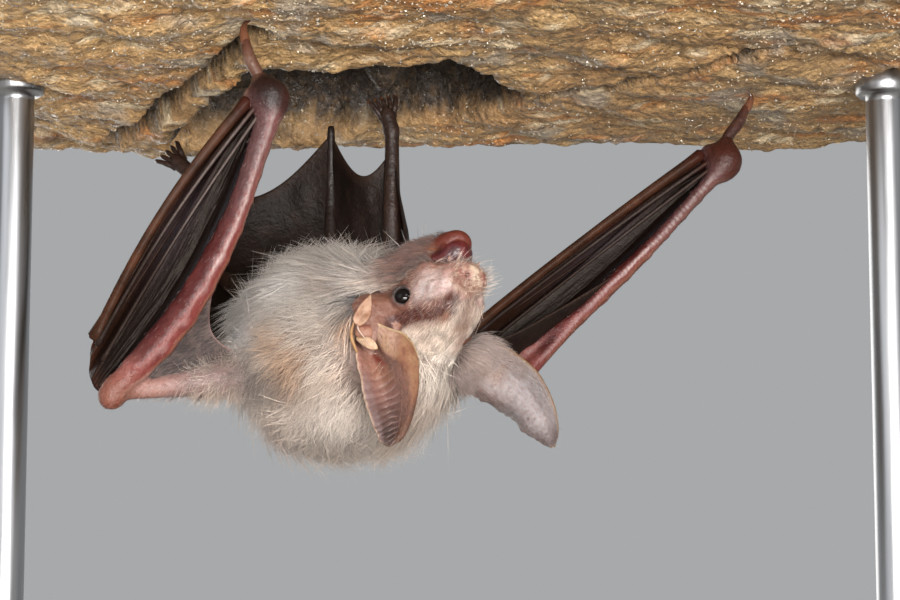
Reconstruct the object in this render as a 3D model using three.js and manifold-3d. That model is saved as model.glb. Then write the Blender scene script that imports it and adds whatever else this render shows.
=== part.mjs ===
// A mouse-eared bat clinging to the underside of a cut piece of cave roof, on a plain display stand.
// Millimetres, +Z up. The origin is the middle of the base's underside, and the viewer is towards -Y.
import * as THREE from "three";
import { mergeVertices } from "three/addons/utils/BufferGeometryUtils.js";
import Module from "manifold-3d";

const wasm = await Module();
wasm.setup();

// ---- driving dimensions ----
const gap = 0.42; // left between two pieces that meet
const seam = 0.14; // details smaller than this along the cuts are dropped
const forearmLength = 42; // the bat's standard measure: everything on the animal follows its scale
const modelScale = forearmLength / 42;
const batHeight = 85; // floor to the level of the bat's eyes, before the eyes' own drop
const batBack = -20; // the bat's own origin lies this far in front of the base's middle
const base = { wide: 136, deep: 92, high: 9, corner: 7, edge: 1 };
const rod = { radius: 2.6, apart: 116, y: 2, sunk: 4 };
const rock = { wide: 132, deep: 88, top: 50, face: 33.6, columns: 14, rows: 10 };
const membrane = 0.7; // thickness of the wing and tail skin
const ear = { thick: 0.65, across: 8, along: 8 };

const v = (x, y, z) => new THREE.Vector3(x, y, z).multiplyScalar(modelScale);
const mix = (a, b, t) => a.clone().lerp(b, t);
const smooth = (t) => t * t * (3 - 2 * t);

// ---- the pose: joint centres in the bat's own frame ----
const arm = {
  left: {
    shoulder: v(-20.5, 2, -8.5),
    elbow: v(-41.4, -5, -12.5),
    wrist: v(-22, -6, 24.4),
    bow: v(2.6, 0, -1.5), // how far the forearm's middle stands off the straight line
    thumb: [v(-23, -6, 27.4), v(-24.9, -6.2, 29.8), v(-25.9, -6, 32)],
    thumbClaw: [v(-26, -6, 32.2), v(-26.3, -5.7, 33.8), v(-25.7, -4.9, 34.5)],
    fingerRoot: v(-24.9, -5.4, 24.6),
    knuckle: v(-44.1, -1.5, -5),
    front: v(0.2, -1, 0), // the way the folded fingers face
  },
  right: {
    shoulder: v(-7, 9, -8),
    elbow: v(7, 26, -5.3),
    wrist: v(37, 26, 23),
    bow: v(0.9, 0, -1),
    thumb: [v(36.8, 26.8, 26.2), v(38, 27.4, 29), v(39.6, 27.8, 30.8)],
    thumbClaw: [v(39.8, 27.9, 31), v(40.5, 28, 32.3), v(40, 27.4, 33.2)],
    fingerRoot: v(34.6, 27, 24.6),
    knuckle: v(3.4, 29.5, 1),
    front: v(-0.3, -1, 0),
  },
};
const leg = {
  left: {
    hip: v(-20, 25, 0),
    knee: v(-31.5, 36, 9),
    ankle: v(-36.2, 42.5, 25),
    toes: v(-39.6, 44, 28.4),
    outward: v(-1, 0.2, 0),
  },
  right: {
    hip: v(-13, 25, 0),
    knee: v(-8, 36.5, 11.5),
    ankle: v(-8, 36.5, 29.6),
    toes: v(-9.3, 37, 34.2),
    outward: v(1, 0.2, 0),
  },
};
const tailLine = [v(-16.5, 31, -1), v(-16.6, 39, 8), v(-16.6, 43, 20), v(-16.6, 42, 31.2)];
const headPose = {
  between: v(-2.3, -11.5, -3.4), // midway between the eyes
  right: v(0.798, 0.525, -0.295).normalize(),
  forward: v(0.597, -0.754, 0.272).normalize(),
  scale: 1.06,
};
// The left ear's hollow side faces the viewer, the right ear's faces away.
const earPose = {
  left: {
    root: v(-9.3, -13, -5.2),
    middle: v(-8, -16, -11.4),
    tip: v(-7, -19.4, -20.4),
    faces: v(-0.35, -0.92, 0.18),
    half: 3.7,
  },
  right: {
    root: v(-0.4, -7, -6.6),
    middle: v(6.9, -9, -12),
    tip: v(12.8, -11, -19.3),
    faces: v(0.62, 0.66, 0.3),
    half: 4,
  },
};

// ---- turning outlines into closed meshes ----
function closedMesh(points, faces) {
  const made = new THREE.BufferGeometry();
  made.setAttribute("position", new THREE.Float32BufferAttribute(points.flatMap((p) => p.toArray()), 3));
  made.setIndex(faces);
  return made;
}

// Rings of one size, from one end to the other, with a point at each end.
function skinRings(first, rings, last) {
  const sides = rings[0].length;
  const points = [first, ...rings.flat(), last];
  const at = (ring, side) => 1 + ring * sides + (side % sides);
  const faces = [];
  for (let side = 0; side < sides; side++) {
    faces.push(0, at(0, side + 1), at(0, side));
    for (let ring = 0; ring + 1 < rings.length; ring++) {
      faces.push(at(ring, side), at(ring, side + 1), at(ring + 1, side + 1));
      faces.push(at(ring, side), at(ring + 1, side + 1), at(ring + 1, side));
    }
    faces.push(points.length - 1, at(rings.length - 1, side), at(rings.length - 1, side + 1));
  }
  return closedMesh(points, faces);
}

function ovalRing(centre, side, up, wide, high, sides) {
  const ring = [];
  for (let i = 0; i < sides; i++) {
    const turn = (i / sides) * 2 * Math.PI;
    ring.push(
      centre
        .clone()
        .addScaledVector(side, wide * Math.cos(turn))
        .addScaledVector(up, high * Math.sin(turn)),
    );
  }
  return ring;
}

// A round-ended tube through points, whose radius is given at each point. flat is its height over its width.
// A slim tube's ends are plain points.
function tube(points, radii, { sides = 8, steps = 8, flat = 1, side = v(1, 0, 0.01), slim = false } = {}) {
  const curve = new THREE.CatmullRomCurve3(points, false, "centripetal");
  const radiusAt = (t) => {
    const place = t * (radii.length - 1);
    const low = Math.min(Math.floor(place), radii.length - 2);
    return THREE.MathUtils.lerp(radii[low], radii[low + 1], smooth(place - low)) * modelScale;
  };
  const ringAt = (t, beyond, share) => {
    const along = curve.getTangent(t);
    const across = side.clone().addScaledVector(along, -side.dot(along)).normalize();
    const up = along.clone().cross(across);
    const radius = radiusAt(t) * share;
    return ovalRing(curve.getPoint(t).addScaledVector(along, beyond), across, up, radius, radius * flat, sides);
  };
  const cap = 0.6; // a cap stands out by this share of the radius
  const rings = [];
  for (let i = 0; i <= steps; i++) rings.push(ringAt(i / steps, 0, 1));
  if (!slim) {
    rings.unshift(ringAt(0, -0.5 * cap * radiusAt(0), 0.8));
    rings.push(ringAt(1, 0.5 * cap * radiusAt(1), 0.8));
  }
  const first = curve.getPoint(0).addScaledVector(curve.getTangent(0), -cap * radiusAt(0));
  const last = curve.getPoint(1).addScaledVector(curve.getTangent(1), cap * radiusAt(1));
  return skinRings(first, rings, last);
}

// Stations along a body, each [centre, half width, half height], between two end points.
function loft(first, stations, last, side, sides) {
  const centres = [first, ...stations.map((s) => s[0]), last];
  const rings = stations.map(([centre, wide, high], i) => {
    const along = centres[i + 2].clone().sub(centres[i]).normalize();
    const across = side.clone().addScaledVector(along, -side.dot(along)).normalize();
    const up = along.clone().cross(across);
    return ovalRing(centre, across, up, wide * modelScale, high * modelScale, sides);
  });
  return skinRings(first, rings, last);
}

// A closed body between two surfaces, each a function of two shares.
function slab(front, back, columns, rows) {
  const grid = (surface) => {
    const points = [];
    for (let j = 0; j <= rows; j++)
      for (let i = 0; i <= columns; i++) points.push(surface(i / columns, j / rows));
    return points;
  };
  const points = [...grid(front), ...grid(back)];
  const count = points.length / 2;
  const at = (i, j) => j * (columns + 1) + i;
  const faces = [];
  for (let j = 0; j < rows; j++)
    for (let i = 0; i < columns; i++) {
      const [a, b, c, d] = [at(i, j), at(i + 1, j), at(i + 1, j + 1), at(i, j + 1)];
      faces.push(a, b, c, a, c, d, a + count, c + count, b + count, a + count, d + count, c + count);
    }
  const rim = [];
  for (let i = 0; i < columns; i++) rim.push(at(i, 0));
  for (let j = 0; j < rows; j++) rim.push(at(columns, j));
  for (let i = columns; i > 0; i--) rim.push(at(i, rows));
  for (let j = rows; j > 0; j--) rim.push(at(0, j));
  rim.forEach((a, i) => {
    const b = rim[(i + 1) % rim.length];
    faces.push(a, a + count, b + count, a, b + count, b);
  });
  const made = closedMesh(points, faces);
  return solidOf(made).volume() < 0 ? slab(back, front, columns, rows) : made;
}

// A thin sheet of even thickness about a surface.
function sheet(surface, columns, rows, thick) {
  const reach = 0.01;
  const normal = (u, w) => {
    const [u0, u1] = [Math.max(0, u - reach), Math.min(1, u + reach)];
    const [w0, w1] = [Math.max(0, w - reach), Math.min(1, w + reach)];
    const alongU = surface(u1, w).sub(surface(u0, w));
    const alongW = surface(u, w1).sub(surface(u, w0));
    return alongU.cross(alongW).normalize();
  };
  const offset = (share) => (u, w) => surface(u, w).addScaledVector(normal(u, w), share * thick);
  return slab(offset(0.5), offset(-0.5), columns, rows);
}

// ---- solids ----
function solidOf(geometry) {
  const bare = geometry.index ? geometry.toNonIndexed() : geometry.clone();
  bare.deleteAttribute("normal");
  bare.deleteAttribute("uv");
  const merged = mergeVertices(bare, 1e-4);
  return new wasm.Manifold(
    new wasm.Mesh({
      numProp: 3,
      vertProperties: merged.attributes.position.array,
      triVerts: new Uint32Array(merged.index.array),
    }),
  );
}

function geometryOf(solid) {
  const mesh = solid.getMesh();
  const made = new THREE.BufferGeometry();
  made.setAttribute("position", new THREE.BufferAttribute(mesh.vertProperties, 3));
  made.setIndex(new THREE.BufferAttribute(mesh.triVerts, 1));
  return made;
}

// The same solid, swollen by a distance on every side.
function swollen(solid, distance) {
  const made = geometryOf(solid);
  made.computeVertexNormals();
  const { position, normal } = made.attributes;
  for (let i = 0; i < position.count; i++)
    position.setXYZ(
      i,
      position.getX(i) + normal.getX(i) * distance,
      position.getY(i) + normal.getY(i) * distance,
      position.getZ(i) + normal.getZ(i) * distance,
    );
  return solidOf(made);
}

const joined = (...geometries) => geometries.map(solidOf).reduce((a, b) => a.add(b));

// ---- head ----
const head = (() => {
  const { between, right, forward } = headPose;
  const up = right.clone().cross(forward).normalize();
  const headScale = headPose.scale * modelScale;
  return {
    up,
    at: (toFront, toRight, toCrown) =>
      between
        .clone()
        .addScaledVector(forward, toFront * headScale)
        .addScaledVector(right, toRight * headScale)
        .addScaledVector(up, toCrown * headScale),
  };
})();
const eyeRadius = 1.35;
const eyeCentre = (hand) => head.at(0.1, hand * 4.35, 0.3);

// Stations of the furred head: [to the front, half width, half height, middle towards the crown].
function skull() {
  const stations = [
    [-10.6, 4.6, 4.4, 0.9],
    [-9, 6.3, 6.2, 1],
    [-6.2, 7.2, 7.2, 1],
    [-3.4, 7, 6.9, 0.9],
    [-0.8, 6.1, 5.8, 0.7],
    [1.6, 5, 4.5, 0.5],
    [3.8, 4.4, 3.7, 0.2],
    [5.8, 3.9, 3.1, -0.1],
    [7.4, 3.2, 2.7, -0.3],
    [8.5, 2.3, 2, -0.4],
  ].map(([front, wide, high, middle]) => [head.at(front, 0, middle), wide, high]);
  return loft(head.at(-11.6, 0, 0.9), stations, head.at(9, 0, -0.4), headPose.right, 16);
}

const jawHinge = [-1, -3.4]; // forward and towards the crown
const jawTurn = THREE.MathUtils.degToRad(-27);
const inJaw = (toFront, toRight, toCrown) =>
  head.at(
    jawHinge[0] + toFront * Math.cos(jawTurn) - toCrown * Math.sin(jawTurn),
    toRight,
    jawHinge[1] + toFront * Math.sin(jawTurn) + toCrown * Math.cos(jawTurn),
  );

function jaw() {
  const stations = [
    [inJaw(0.4, 0, -0.9), 3.8, 2.3],
    [inJaw(2.6, 0, -0.9), 3.9, 2.5],
    [inJaw(4.6, 0, -0.8), 3.4, 2.3],
    [inJaw(6.4, 0, -0.6), 2.8, 2],
    [inJaw(7.6, 0, -0.4), 1.9, 1.4],
  ];
  return loft(inJaw(-1, 0, -0.5), stations, inJaw(8.2, 0, -0.2), headPose.right, 12);
}

function tongue() {
  const stations = [
    [inJaw(2.2, 0, 1), 2.2, 1.1],
    [inJaw(4.2, 0, 1.2), 2.6, 1.5],
    [inJaw(6, 0, 1.2), 2.2, 1.4],
  ];
  return loft(inJaw(0.8, 0, 0.6), stations, inJaw(7.4, 0, 1), headPose.right, 10);
}

function canines() {
  const reach = 0.9;
  return [-1, 1].map((hand) =>
    tube([inJaw(6.2, hand * 2, 0.4), inJaw(6.2, hand * 2.1, 1.6 + reach)], [0.45, 0.2], { sides: 6, steps: 2, slim: true }),
  );
}

// An ear is a leaf rolled into a cup about its own bent axis, open towards faces.
function earLeaf({ root, middle, tip, faces, half }) {
  const axis = new THREE.CatmullRomCurve3([root, middle, tip], false, "centripetal");
  const point = (u, w) => {
    const s = 0.02 + 0.98 * w; // share of the length from the root
    const along = axis.getTangent(s);
    const open = faces.clone().addScaledVector(along, -faces.dot(along)).normalize();
    const across = along.clone().cross(open);
    const leaf = Math.pow(Math.sin(Math.PI * Math.pow(0.26 + 0.74 * s, 1.35)), 0.6);
    const roll = THREE.MathUtils.lerp(1.75, 0.8, smooth(Math.min(1, s * 1.15))); // half the angle of the roll
    const turn = (2 * u - 1) * roll;
    const radius = (half * modelScale * leaf + 0.3) / Math.sin(Math.min(Math.PI / 2, roll));
    return axis
      .getPoint(s)
      .addScaledVector(across, radius * Math.sin(turn))
      .addScaledVector(open, radius * (0.55 - Math.cos(turn)));
  };
  return sheet(point, ear.across, ear.along, ear.thick);
}

function tragus({ root, middle, faces }, hand) {
  const along = middle.clone().sub(root).normalize();
  const open = faces.clone().normalize();
  const from = root.clone().addScaledVector(open, 1.6).addScaledVector(along, 1.2);
  const bend = from.clone().addScaledVector(along, 4).addScaledVector(open, 1.1);
  const end = from.clone().addScaledVector(along, 8).addScaledVector(open, 0.9);
  const side = along.clone().cross(open).multiplyScalar(hand);
  return tube([from, bend, end], [1.5, 1.15, 0.5], { sides: 8, steps: 5, flat: 0.35, side });
}

// ---- trunk and neck, out to the tips of the coat ----
function trunk() {
  const stations = [
    [v(-16.5, 32.5, 2.4), 6, 5.5],
    [v(-16.4, 27, 1), 9.6, 8.8],
    [v(-16.1, 19, -1.8), 12.4, 11.4],
    [v(-15.4, 11, -4.4), 14.8, 13.4],
    [v(-14.2, 4, -6.2), 16, 14.5],
    [v(-12.8, -2, -7), 14.8, 13.6],
    [v(-11.4, -6.2, -7.2), 11.4, 10.6],
    [v(-10.4, -8.6, -7.2), 7, 6.6],
  ];
  return loft(v(-16.5, 35, 3), stations, v(-9.8, -9.6, -7), v(1, 0, 0), 18);
}

function neck() {
  const stations = [
    [v(-10, 2, -7.6), 12.4, 11.8],
    [v(-8, -3, -7.6), 12.2, 11.2],
    [v(-6.2, -6.6, -7), 10.4, 9.6],
    [v(-5, -9.2, -6.2), 7.6, 7.2],
  ];
  return loft(v(-11.4, 5, -7.4), stations, v(-4.4, -10.6, -5.6), v(1, 0, 0), 18);
}

// ---- arms and wings ----
const forearmLine = ({ elbow, wrist, bow }) =>
  [0, 0.3, 0.6, 0.85, 1].map((t, i) => mix(elbow, wrist, t).addScaledVector(bow, [0, 0.95, 1, 0.45, 0][i]));
const alongForearm = (pose) => new THREE.CatmullRomCurve3(forearmLine(pose), false, "centripetal");

const upperArm = ({ shoulder, elbow }) =>
  tube([shoulder, mix(shoulder, elbow, 0.5), elbow], [4.4, 3.1, 1.8], { sides: 10, steps: 5 });

const forearm = (pose) => tube(forearmLine(pose), [2, 2.2, 1.7, 1.4, 1.5], { sides: 8, steps: 9, flat: 0.9 });

const wristKnob = ({ wrist, thumb }) =>
  tube([wrist, mix(wrist, thumb[0], 0.7)], [2.5, 1.9], { sides: 8, steps: 3 });

const thumb = ({ wrist, thumb: line }) =>
  tube([mix(wrist, line[0], 0.6), ...line], [1.3, 0.8, 0.65, 0.7], { sides: 7, steps: 6 });

const thumbClaw = ({ thumbClaw: line }) => tube(line, [0.55, 0.4, 0.22], { sides: 6, steps: 4, slim: true });

// The folded fingers fan out a little from the wrist, the third along the outer edge.
const fingerShare = { 3: 1, 4: 0.68, 5: 0.36 }; // how far towards the outer edge each finger lies
function fingerPoint(pose, share, t) {
  const outer = mix(pose.fingerRoot, pose.knuckle, t);
  const end = mix(pose.elbow, pose.knuckle, 0.25 + 0.75 * share);
  return mix(mix(pose.wrist, end, t), outer, share * share);
}

function fingerBone(pose, finger) {
  const share = fingerShare[finger];
  const stand = 0.8 * modelScale; // in front of the folded skin
  const line = [0.07, 0.35, 0.7, 1].map((t) => fingerPoint(pose, share, t).addScaledVector(pose.front, stand));
  const stout = finger === 3 ? 1.25 : 1;
  return tube(line, [0.65, 0.6, 0.62, 0.85].map((r) => r * stout), { sides: 6, steps: 4, slim: true });
}

// The skin between the folded fingers lies pleated, a thick wad that thins towards both edges.
function wingMembrane(pose) {
  const bones = alongForearm(pose);
  const wad = (side) => (u, w) => {
    const t = 0.05 + 0.98 * w;
    const inner = bones.getPoint(Math.max(0, 1 - t));
    const outer = fingerPoint(pose, 1, t);
    const full = Math.pow(Math.max(0, Math.sin(Math.PI * (0.04 + 0.92 * u))), 0.5) * Math.min(1, 0.35 + 3 * t * (1.25 - t));
    const pleat = 0.4 * Math.cos(u * 4 * Math.PI) * (0.4 + t);
    const round = t > 0.9 ? 1.6 * Math.sin(Math.PI * u) * (t - 0.9) * 10 : 0; // the rounded lower end
    return mix(inner, outer, u)
      .addScaledVector(pose.front, side * modelScale * (1.15 * full + pleat * full))
      .addScaledVector(outer.clone().sub(pose.fingerRoot).normalize(), round * modelScale);
  };
  return slab(wad(1), wad(-1), 8, 6);
}

// The web in front of the elbow, with its free edge drawn in.
function frontWeb(pose) {
  const { shoulder, elbow } = pose;
  const bones = alongForearm(pose);
  const point = (u, w) => {
    const t = 0.1 + 0.9 * u;
    const onForearm = bones.getPoint(0.45 * t);
    const onUpperArm = mix(elbow, shoulder, 0.95 * t);
    const drawnIn = 1.15 * t * t * w * (1 - w);
    const flat = mix(onForearm, onUpperArm, w);
    return flat.add(elbow.clone().sub(flat).multiplyScalar(drawnIn));
  };
  return sheet(point, 5, 5, membrane);
}

// The skin between the leg, the flank and the folded wing.
function flankWeb({ ankle, knee, hip }, { knuckle, elbow }) {
  const legLine = new THREE.CatmullRomCurve3([mix(ankle, knee, 0.12), knee, hip], false, "centripetal");
  const wingEnd = mix(knuckle, elbow, 0.5).add(v(0, 3, 0));
  const point = (u, w) => {
    const onLeg = legLine.getPoint(u);
    const free = mix(legLine.getPoint(0), wingEnd, u);
    const inward = hip.clone().sub(free).multiplyScalar(0.28 * Math.sin(Math.PI * u));
    return mix(onLeg, free.add(inward.multiplyScalar(w)), w);
  };
  return sheet(point, 6, 4, membrane);
}

// ---- legs and tail ----
const thigh = ({ hip, knee }) => tube([hip, mix(hip, knee, 0.5), knee], [3, 2.5, 1.5], { sides: 8, steps: 5 });
const shin = ({ knee, ankle }) => tube([knee, mix(knee, ankle, 0.4), ankle], [1.4, 1.35, 0.95], { sides: 8, steps: 5 });

function foot({ ankle, toes, outward }) {
  const along = toes.clone().sub(ankle).normalize();
  const spread = outward.clone().addScaledVector(along, -outward.dot(along)).normalize();
  const heel = tube([ankle, mix(ankle, toes, 0.5)], [1.3, 1.5], { sides: 8, steps: 2, flat: 0.6, side: spread });
  const palm = along.clone().cross(spread).multiplyScalar(Math.sign(along.clone().cross(spread).y) || 1);
  const pieces = [heel];
  for (let toe = -2; toe <= 2; toe++) {
    const start = mix(ankle, toes, 0.5).addScaledVector(spread, toe * 0.55);
    const tip = toes.clone().addScaledVector(spread, toe * 0.95);
    const hook = tip.clone().addScaledVector(palm, 0.9).addScaledVector(along, 0.5);
    pieces.push(tube([start, tip, hook], [0.5, 0.42, 0.25], { sides: 4, steps: 3, side: spread, slim: true }));
  }
  return pieces;
}

const tail = () => tube(tailLine, [1.7, 1.3, 0.9, 0.6], { sides: 8, steps: 8 });

function tailWeb({ hip, knee, ankle }) {
  const legLine = new THREE.CatmullRomCurve3([hip, knee, mix(knee, ankle, 0.9)], false, "centripetal");
  const midLine = new THREE.CatmullRomCurve3(tailLine, false, "centripetal");
  const point = (u, w) => {
    const t = 0.12 + 0.86 * u;
    const between = mix(legLine.getPoint(t), midLine.getPoint(t), w);
    const down = 5.2 * modelScale * u * u * Math.sin(Math.PI * w);
    return between.addScaledVector(new THREE.Vector3(0, -0.35, -1), down);
  };
  return sheet(point, 6, 3, membrane);
}

// ---- the cut piece of cave roof ----
// Its underside, in the bat's frame: nearly level, with ledges that each hold meets.
function roofFace(x, y) {
  const bump = (cx, cy, reach, drop) => drop * Math.exp(-((x - cx) ** 2 + (y - cy) ** 2) / (2 * reach * reach));
  const rough = 0.5 * Math.sin(x * 0.31 + 1.3) * Math.cos(y * 0.27) + 0.35 * Math.sin(x * 0.13 - y * 0.42);
  return (
    rock.face +
    bump(-39, 46, 11, -3.6) +
    bump(-9, 38, 10, 1.2) +
    bump(40, 27, 12, -1) +
    bump(-48, 8, 16, -1.6) +
    bump(20, -14, 22, 1.2) +
    rough
  );
}

function roof() {
  const { wide, deep, top, columns, rows } = rock;
  const made = new THREE.BoxGeometry(wide, deep, 1, columns, rows, 1);
  const { position } = made.attributes;
  const middleY = -batBack;
  for (let i = 0; i < position.count; i++) {
    const edge = 0.86 + 0.14 * Math.abs(Math.sin(position.getX(i) * 0.11) * Math.cos(position.getY(i) * 0.17));
    const outer = Math.max(Math.abs(position.getX(i)) / (wide / 2), Math.abs(position.getY(i)) / (deep / 2)) > 0.999;
    const pull = outer && position.getZ(i) < 0 ? 1 - (1 - edge) * 0.4 : 1;
    const x = position.getX(i) * pull;
    const y = position.getY(i) * pull + middleY;
    position.setXYZ(i, x, y, position.getZ(i) > 0 ? top : roofFace(x, y));
  }
  return made;
}

// ---- the stand ----
function roundedBase() {
  const { wide, deep, high, corner, edge } = base;
  const outline = new THREE.Shape();
  const x = wide / 2 - edge;
  const y = deep / 2 - edge;
  outline.moveTo(-x + corner, -y);
  outline.lineTo(x - corner, -y);
  outline.absarc(x - corner, -y + corner, corner, -Math.PI / 2, 0);
  outline.lineTo(x, y - corner);
  outline.absarc(x - corner, y - corner, corner, 0, Math.PI / 2);
  outline.lineTo(-x + corner, y);
  outline.absarc(-x + corner, y - corner, corner, Math.PI / 2, Math.PI);
  outline.lineTo(-x, -y + corner);
  outline.absarc(-x + corner, -y + corner, corner, Math.PI, 1.5 * Math.PI);
  const made = new THREE.ExtrudeGeometry(outline, {
    depth: high - 2 * edge,
    bevelThickness: edge,
    bevelSize: edge,
    bevelSegments: 1,
    curveSegments: 4,
  });
  return made.translate(0, 0, edge);
}

// A rod from its socket in the base to its socket in the rock, or with room around it, those sockets.
function standRod(hand, room = 0) {
  const bottom = base.high - rod.sunk;
  const topEnd = batHeight + rock.face + rod.sunk + 2;
  const length = topEnd - bottom + 2 * room;
  const made = new THREE.CylinderGeometry(rod.radius + room, rod.radius + room, length, 16);
  return made.rotateX(Math.PI / 2).translate((hand * rod.apart) / 2, rod.y, (topEnd + bottom) / 2);
}

// ---- putting it together ----
const finish = {
  fur: { color: 0xb8a893, roughness: 0.9 },
  face: { color: 0xb87a68, roughness: 0.55 },
  ear: { color: 0xa88678, roughness: 0.6 },
  eye: { color: 0x060606, roughness: 0.08 },
  mouth: { color: 0x7a1c20, roughness: 0.25 },
  limb: { color: 0xb0605a, roughness: 0.45 },
  wing: { color: 0x2a201d, roughness: 0.4 },
  claw: { color: 0x6b3f28, roughness: 0.4 },
  rock: { color: 0xa88a5a, roughness: 0.85 },
  wood: { color: 0x3a2a20, roughness: 0.45 },
  steel: { color: 0x9a9a9c, roughness: 0.35, metalness: 1 },
};
const sidesOf = { left: -1, right: 1 };

// In this order each piece keeps its shape, and every later one is cut back from it.
const pieces = [];
const add = (name, look, ...geometries) => pieces.push({ name, look, solid: joined(...geometries) });

for (const [name, hand] of Object.entries(sidesOf)) {
  const eye = new THREE.SphereGeometry(eyeRadius * modelScale, 12, 8);
  const place = eyeCentre(hand);
  add(`eye_${name}`, "eye", eye.translate(place.x, place.y, place.z));
  add(`thumb_claw_${name}`, "claw", thumbClaw(arm[name]));
  add(`tragus_${name}`, "ear", tragus(earPose[name], hand));
}
add("tongue", "mouth", tongue());
add("lower_jaw", "mouth", jaw(), ...canines());
add("head", "face", skull());
for (const [name, hand] of Object.entries(sidesOf)) {
  add(`ear_${name}`, "ear", earLeaf(earPose[name]));
  add(`thumb_${name}`, "limb", thumb(arm[name]));
  add(`wrist_${name}`, "limb", wristKnob(arm[name]));
  add(`forearm_${name}`, "limb", forearm(arm[name]));
  add(`upper_arm_${name}`, "limb", upperArm(arm[name]));
  add(`foot_${name}`, "limb", ...foot(leg[name]));
  add(`shin_${name}`, "limb", shin(leg[name]));
}
add("neck", "fur", neck());
add("trunk", "fur", trunk());
for (const name of Object.keys(sidesOf)) {
  add(`thigh_${name}`, "limb", thigh(leg[name]));
  for (const finger of [3, 4, 5]) add(`finger_${finger}_${name}`, "wing", fingerBone(arm[name], finger));
}
add("tail", "limb", tail());
for (const name of Object.keys(sidesOf)) {
  add(`wing_membrane_${name}`, "wing", wingMembrane(arm[name]));
  add(`front_web_${name}`, "wing", frontWeb(arm[name]));
  add(`tail_membrane_${name}`, "wing", tailWeb(leg[name]));
  add(`flank_membrane_${name}`, "wing", flankWeb(leg[name], arm[name]));
}
add("perch_rock", "rock", roof());

const touches = (a, b) => {
  const [p, q] = [a.boundingBox(), b.boundingBox()];
  return [0, 1, 2].every((i) => p.min[i] - 1 < q.max[i] && q.min[i] - 1 < p.max[i]);
};
const largest = (solid) => solid.decompose().sort((a, b) => b.volume() - a.volume())[0];

const bat = new THREE.Group();
bat.position.set(0, batBack, batHeight);
const lift = [0, -batBack, -batHeight];
const hands = Object.values(sidesOf);
const sockets = hands.map((hand) => solidOf(standRod(hand, gap)));
pieces.forEach((piece, i) => {
  let left = piece.solid;
  for (const earlier of pieces.slice(0, i))
    if (touches(left, earlier.solid)) left = left.subtract(swollen(earlier.solid, gap));
  if (piece.name === "perch_rock")
    for (const socket of sockets) left = left.subtract(socket.translate(lift));
  const mesh = new THREE.Mesh(
    geometryOf(largest(left.simplify(seam))),
    new THREE.MeshStandardMaterial(finish[piece.look]),
  );
  mesh.name = piece.name;
  bat.add(mesh);
});

const stand = new THREE.Group();
const wood = new THREE.Mesh(
  geometryOf(sockets.reduce((left, socket) => left.subtract(socket), solidOf(roundedBase()))),
  new THREE.MeshStandardMaterial(finish.wood),
);
wood.name = "stand_base";
stand.add(wood);
for (const [name, hand] of Object.entries(sidesOf)) {
  const made = new THREE.Mesh(standRod(hand), new THREE.MeshStandardMaterial(finish.steel));
  made.name = `stand_rod_${name}`;
  stand.add(made);
}

const model = new THREE.Group();
model.add(bat, stand);
export default model;
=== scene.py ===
# A mouse-eared bat clinging to the underside of a cut piece of cave roof, on a plain display stand.
# Sizes are in millimetres in the bat's own frame until a mesh is made. +Z is up, and the viewer is at -Y.
import math
import bpy
import numpy as np
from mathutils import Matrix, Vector, kdtree


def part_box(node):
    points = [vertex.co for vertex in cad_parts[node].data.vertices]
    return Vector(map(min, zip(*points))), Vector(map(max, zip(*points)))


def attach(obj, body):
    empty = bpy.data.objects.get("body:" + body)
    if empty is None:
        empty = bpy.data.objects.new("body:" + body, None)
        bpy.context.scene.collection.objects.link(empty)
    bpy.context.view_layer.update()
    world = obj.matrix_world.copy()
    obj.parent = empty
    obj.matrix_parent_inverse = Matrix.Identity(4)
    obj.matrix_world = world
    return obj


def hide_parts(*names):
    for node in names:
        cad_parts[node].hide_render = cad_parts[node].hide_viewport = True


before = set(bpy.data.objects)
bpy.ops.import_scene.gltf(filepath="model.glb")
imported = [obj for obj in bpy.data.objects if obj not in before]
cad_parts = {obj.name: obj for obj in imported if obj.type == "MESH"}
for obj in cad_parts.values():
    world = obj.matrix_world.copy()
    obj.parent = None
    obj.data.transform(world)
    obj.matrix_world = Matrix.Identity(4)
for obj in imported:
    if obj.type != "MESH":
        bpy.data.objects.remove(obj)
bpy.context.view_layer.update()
batPlace = np.array([0, -20, 85.0])  # the bat's own origin above the middle of the base


def say(stage, count=None):
    print("stage:", stage, "" if count is None else f"({count} faces)", flush=True)


# ---- the pose: joint centres ----
arms = {
    "left": {
        "shoulder": (-20.5, 2, -8.5), "elbow": (-41.4, -5, -12.5), "wrist": (-22, -6, 24.4),
        "bow": (2.6, 0, -1.5), "front": (0.2, -1, 0), "pleats": 1,
        "thumb": [(-23.3, -6, 25.8), (-23.9, -6, 27.4), (-25.0, -6.2, 29.6), (-25.5, -6.0, 31.8)],
        "claw": [(-25.5, -6, 31.6), (-25.8, -5.8, 33.1), (-25.6, -5.3, 34.2), (-25.0, -4.8, 34.7)],
        "fingerRoot": (-24.9, -5.4, 24.6), "knuckle": (-44.1, -1.5, -5), "swell": (-1.3, 0, 0.7),
    },
    "right": {
        "shoulder": (-7, 9, -8), "elbow": (7, 26, -5.3), "wrist": (37, 26, 23),
        "bow": (0.9, 0, -1), "front": (-0.3, -1, 0),
        "thumb": [(36.8, 26.4, 24.6), (37.3, 26.8, 26.6), (38.9, 27.4, 28.8), (40.0, 27.8, 31.0)],
        "claw": [(40.0, 27.8, 30.8), (40.5, 27.9, 31.6), (40.7, 27.8, 32.6), (40.1, 27.4, 33.2)],
        "fingerRoot": (34.6, 27, 24.6), "knuckle": (3.4, 29.5, 1), "swell": (-0.3, 0, 0.3),
        "slim": 0.66, "pleats": 0.35,
        "fold": [(9.6, 24.4, -6.2), (20.5, 25.6, 5.2)],
    },
}
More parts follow.
